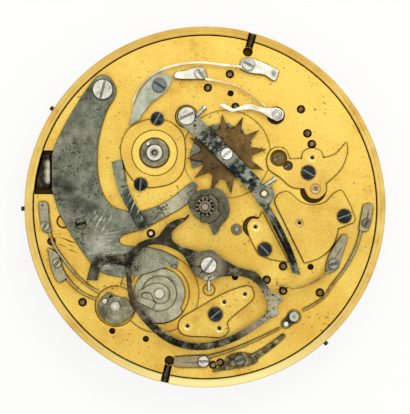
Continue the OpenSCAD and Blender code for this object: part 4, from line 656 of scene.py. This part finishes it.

# All-or-nothing bar and star stud: a straight steel bar, black-polished and now clouded, that carries the
# star on its screw and ends in a long thin arm; two small polished pins lie on it.
# Black-polished steel: it mirrors the room, and its colour is painted black in places and clouded grey in
# others, partly as a painted reflection of the room and partly as clouding
bar_steel = worn_steel(
    "steel_black_polished_bar", "#9a9e8e", "#42473f", "#101417", patch=0.95, pits=1.1, rough=0.2,
    seed=10.0, spread=0.09, pit="#0d1013",
    spots=[(-1.3, 10.2, 0.9, 2.0, "#a5a48f", 0.85), (2.9, 6.4, 0.7, 1.3, "#a9aa97", 0.8),
           (7.35, 1.65, 0.9, 1.5, "#959a87", 0.8), (4.2, 5.0, 0.2, 1.3, "#2a3033", 0.6),
           (0.8, 8.6, 0.3, 1.2, "#262b2c", 0.6), (9.9, -4.4, 2.6, 5.6, "#1a1a13", 0.9),
           (0.0, 12.4, 0.4, 0.75, "#f0efe2", 0.95), (8.5, 3.4, 0.5, 0.85, "#f0efe2", 0.95),
           (-0.7, 11.7, 0.3, 0.5, "#e2e0d0", 0.9), (7.8, 2.9, 0.2, 0.45, "#e2e0d0", 0.9)],
    marks=[(9.3, -3.0, 4.0, -62, "#a9ab98", 0.4)])
finish("all_or_nothing", bar_steel, 0.04)
# White-polished steel: nearly white, with a few straw-coloured stains
white_steel = worn_steel(
    "steel_white_polished", "#ffffff", "#f6f6ec", "#d2d1c3", patch=2.4, pits=0.25, rough=0.25, seed=11.0,
    pit="#6d6b5c",
    spots=[(4.6, 14.9, 1.2, 2.0, "#cdb468", 0.85), (6.6, 13.6, 0.9, 1.5, "#cdb468", 0.85),
           (2.2, 15.6, 0.9, 1.6, "#d6c184", 0.8), (-7.6, 15.6, 0.8, 3.6, "#b3a67c", 0.75),
           (8.6, 16.6, 0.1, 0.5, "#5a5646", 0.7)])
finish("star_stud", white_steel, 0.05)

# Star jumper and detent: small levers filed from steel, hardened and polished, each on its own pivot and
# held to its work by one of the two upper springs. The jumper is as white as its spring.
finish("star_jumper", white_steel, 0.07)
# Polished steel with a haze: pale grey-green
detent_steel = worn_steel("steel_polished_detent", "#c9cdbb", "#b4b9a5", "#92957f", patch=2.0, pits=0.5,
                          seed=12.0, spots=[(-9.2, 10.8, 0.3, 1.5, "#8d9184", 0.6)])
finish("detent", detent_steel, 0.06)

# Cannon pinion, quarter snail and star driver: a steel pinion cut on a tube that fits the centre arbor
# friction-tight, with the snail for the quarters and the dark plate whose lobe moves the star.
# Cut steel: warm grey leaves with dark oil between them
pinion_steel = worn_steel("steel_cut_pinion", "#a29b85", "#857e69", "#4e4a3b", patch=0.8, seed=13.0)
finish("cannon_pinion", pinion_steel, 0.03)
# Steel darkened by old oil: a dull olive grey
driver_steel = worn_steel(
    "steel_dark_driver", "#7b7963", "#65634e", "#484739", patch=1.2, pits=1.0, seed=14.0,
    spots=[(1.4, -2.6, 0.3, 1.3, "#55574c", 0.6), (2.4, -0.6, 0.2, 1.2, "#4d4e42", 0.6)])
finish("quarter_snail", driver_steel, 0.04)
finish("star_driver", driver_steel, 0.04)

# Quarter rack: a wide steel loop, black-polished on its top, that falls on the quarter snail and then
# draws the two hammers. Rubbed grey at its hub; its right-hand shoulder carries a pale painted highlight.
# Black-polished steel: brown-black, with grey clouds, partly where the polish has gone and partly a
# painted reflection of the room
rack_steel = worn_steel(
    "steel_black_polished_rack", "#7f7a66", "#3b382d", "#14130e", patch=1.1, pits=1.2, rough=0.2,
    seed=15.0, spread=0.13, pit="#15140f",
    spots=[(0.5, -7.4, 0.9, 2.4, "#a09a80", 0.85), (0.5, -9.6, 0.6, 1.3, "#e4e2d4", 0.9),
           (8.4, -12.4, 0.8, 3.4, "#bdb597", 0.9), (6.0, -14.6, 0.4, 2.6, "#a39a86", 0.7),
           (-5.5, -4.1, 1.0, 4.5, "#35342a", 0.8), (-8.9, -10.5, 0.5, 3.0, "#5e4a34", 0.7),
           (5.5, -8.4, 0.6, 2.8, "#47432f", 0.7), (-14.2, -8.3, 0.3, 1.2, "#6e6b55", 0.6)])
finish("quarter_rack", rack_steel, 0.08)

# Leaf springs: thin blades of hardened steel, each filed from one piece with its foot. The two upper ones
# are bright; the others carry a painted gold reflection of the plate, and stains.
for name in ("detent_spring", "jumper_spring"):
    finish(name, white_steel, 0.06)
# Spring steel: the blades painted a dull straw colour, a painted reflection of the gilt plate, grey at
# the feet
spring_steel = worn_steel(
    "steel_spring_painted_gold_reflection", "#bfa460", "#ab8f4e", "#856a35", patch=1.6, pits=0.8, rough=0.34, seed=16.0,
    spots=[(-20.1, -1.2, 2.0, 2.6, "#a5a087", 0.95), (-18.6, -7.2, 2.0, 2.8, "#a7a282", 0.95),
           (20.1, -1.4, 1.9, 2.5, "#a8a17d", 0.95), (16.4, -5.8, 2.4, 3.0, "#a09a80", 0.95),
           (-1.8, -19.3, 2.3, 2.9, "#9c9274", 0.95), (-20.3, 0.2, 0.08, 0.2, "#15120c", 0.9)],
    marks=[(20.1, -1.4, 2.4, 80, "#4a4230", 0.8), (-18.6, -7.2, 2.4, 70, "#5d573f", 0.7),
           (16.4, -5.8, 2.6, 60, "#5d573f", 0.7), (-1.8, -19.3, 2.6, 0, "#5d4f38", 0.7)])
for name in ("lever_spring", "left_trip_spring", "rack_spring", "right_trip_spring", "bottom_spring"):
    finish(name, spring_steel, 0.05)
# Spring steel stained by rust: dark blotches on grey-brown
dark_spring = worn_steel(
    "steel_stained_spring", "#a39a78", "#6f674a", "#2b2516", patch=0.7, pits=1.3, seed=20.0,
    pit="#241f15")
finish("hammer_spring", dark_spring, 0.05)

# Screws and pins: slotted steel screws, blued nearly black on the bridges and polished bright on the
# levers and springs, and plain steel pins driven into the plate, browned with age.
# Blued steel, nearly black: dark heads with a grey gleam, and a pale grey painted into their slots and
# corners as a painted highlight
screw_black = worn_steel(
    "steel_blued_black_screws", "#454b50", "#2c3035", "#191b1e", patch=0.8, pits=0.4, rough=0.24,
    seed=17.0, corner_colour="#84847a",
    spots=[(9.2, 6.1, 0.85, 1.0, "#7a6238", 0.95), (9.2, 6.1, 0.12, 0.3, "#3c2f18", 0.9),
           (10.35, 5.15, 0.5, 0.62, "#4f3a2a", 0.95)])
for name in ("front_screws", "back_screws"):
    finish(name, screw_black, 0.025)
# Steel blackened at the rim: dark brown ends
rim_steel = worn_steel(
    "steel_pins_blackened", "#6d5c46", "#4a3d2e", "#2a231b", patch=0.7, pits=0.6, seed=21.0)
finish("rim_pins", rim_steel, 0.05)
# Polished steel: bright heads with black oil and painted shade in their slots, a few of them dulled
screw_bright = worn_steel(
    "steel_polished_screws", "#f2f1e6", "#d9d8ca", "#a3a295", patch=0.8, pits=0.4, rough=0.24, seed=18.0,
    corner_colour="#0c0b08",
    spots=[(-5.7, 15.15, 0.9, 1.1, "#5d6a70", 0.85), (20.1, -2, 0.7, 0.9, "#6a5a44", 0.8),
           (4.3, -19.1, 0.7, 0.9, "#5d5a4c", 0.8), (15.95, -7.1, 0.7, 0.9, "#807c6a", 0.7),
           (-18.45, -7, 0.6, 0.8, "#a5a186", 0.8), (-19.95, -2.4, 0.6, 0.8, "#a5a28a", 0.8)])
for name in ("spring_screws", "pivot_screws"):
    finish(name, screw_bright, 0.025)
# Steel browned with age: reddish pins with a worn bright spot on top
pin_steel = worn_steel(
    "steel_pins_brown", "#a08768", "#7d664c", "#4d3f2f", patch=0.6, pits=0.4, seed=19.0,
    spots=[(-6.75, -3.3, 0.12, 0.3, "#e9d9c6", 0.9), (3.95, -2.8, 0.2, 0.3, "#d9d6c6", 0.9),
           (3.95, -2.8, 0.5, 0.9, "#8e8c78", 0.8), (-10.4, 3.75, 0.4, 0.6, "#8f9380", 1.0)])
finish("plate_pins", pin_steel, 0.05)

# Brings the dressed movement's placement up to date
bpy.context.view_layer.update()
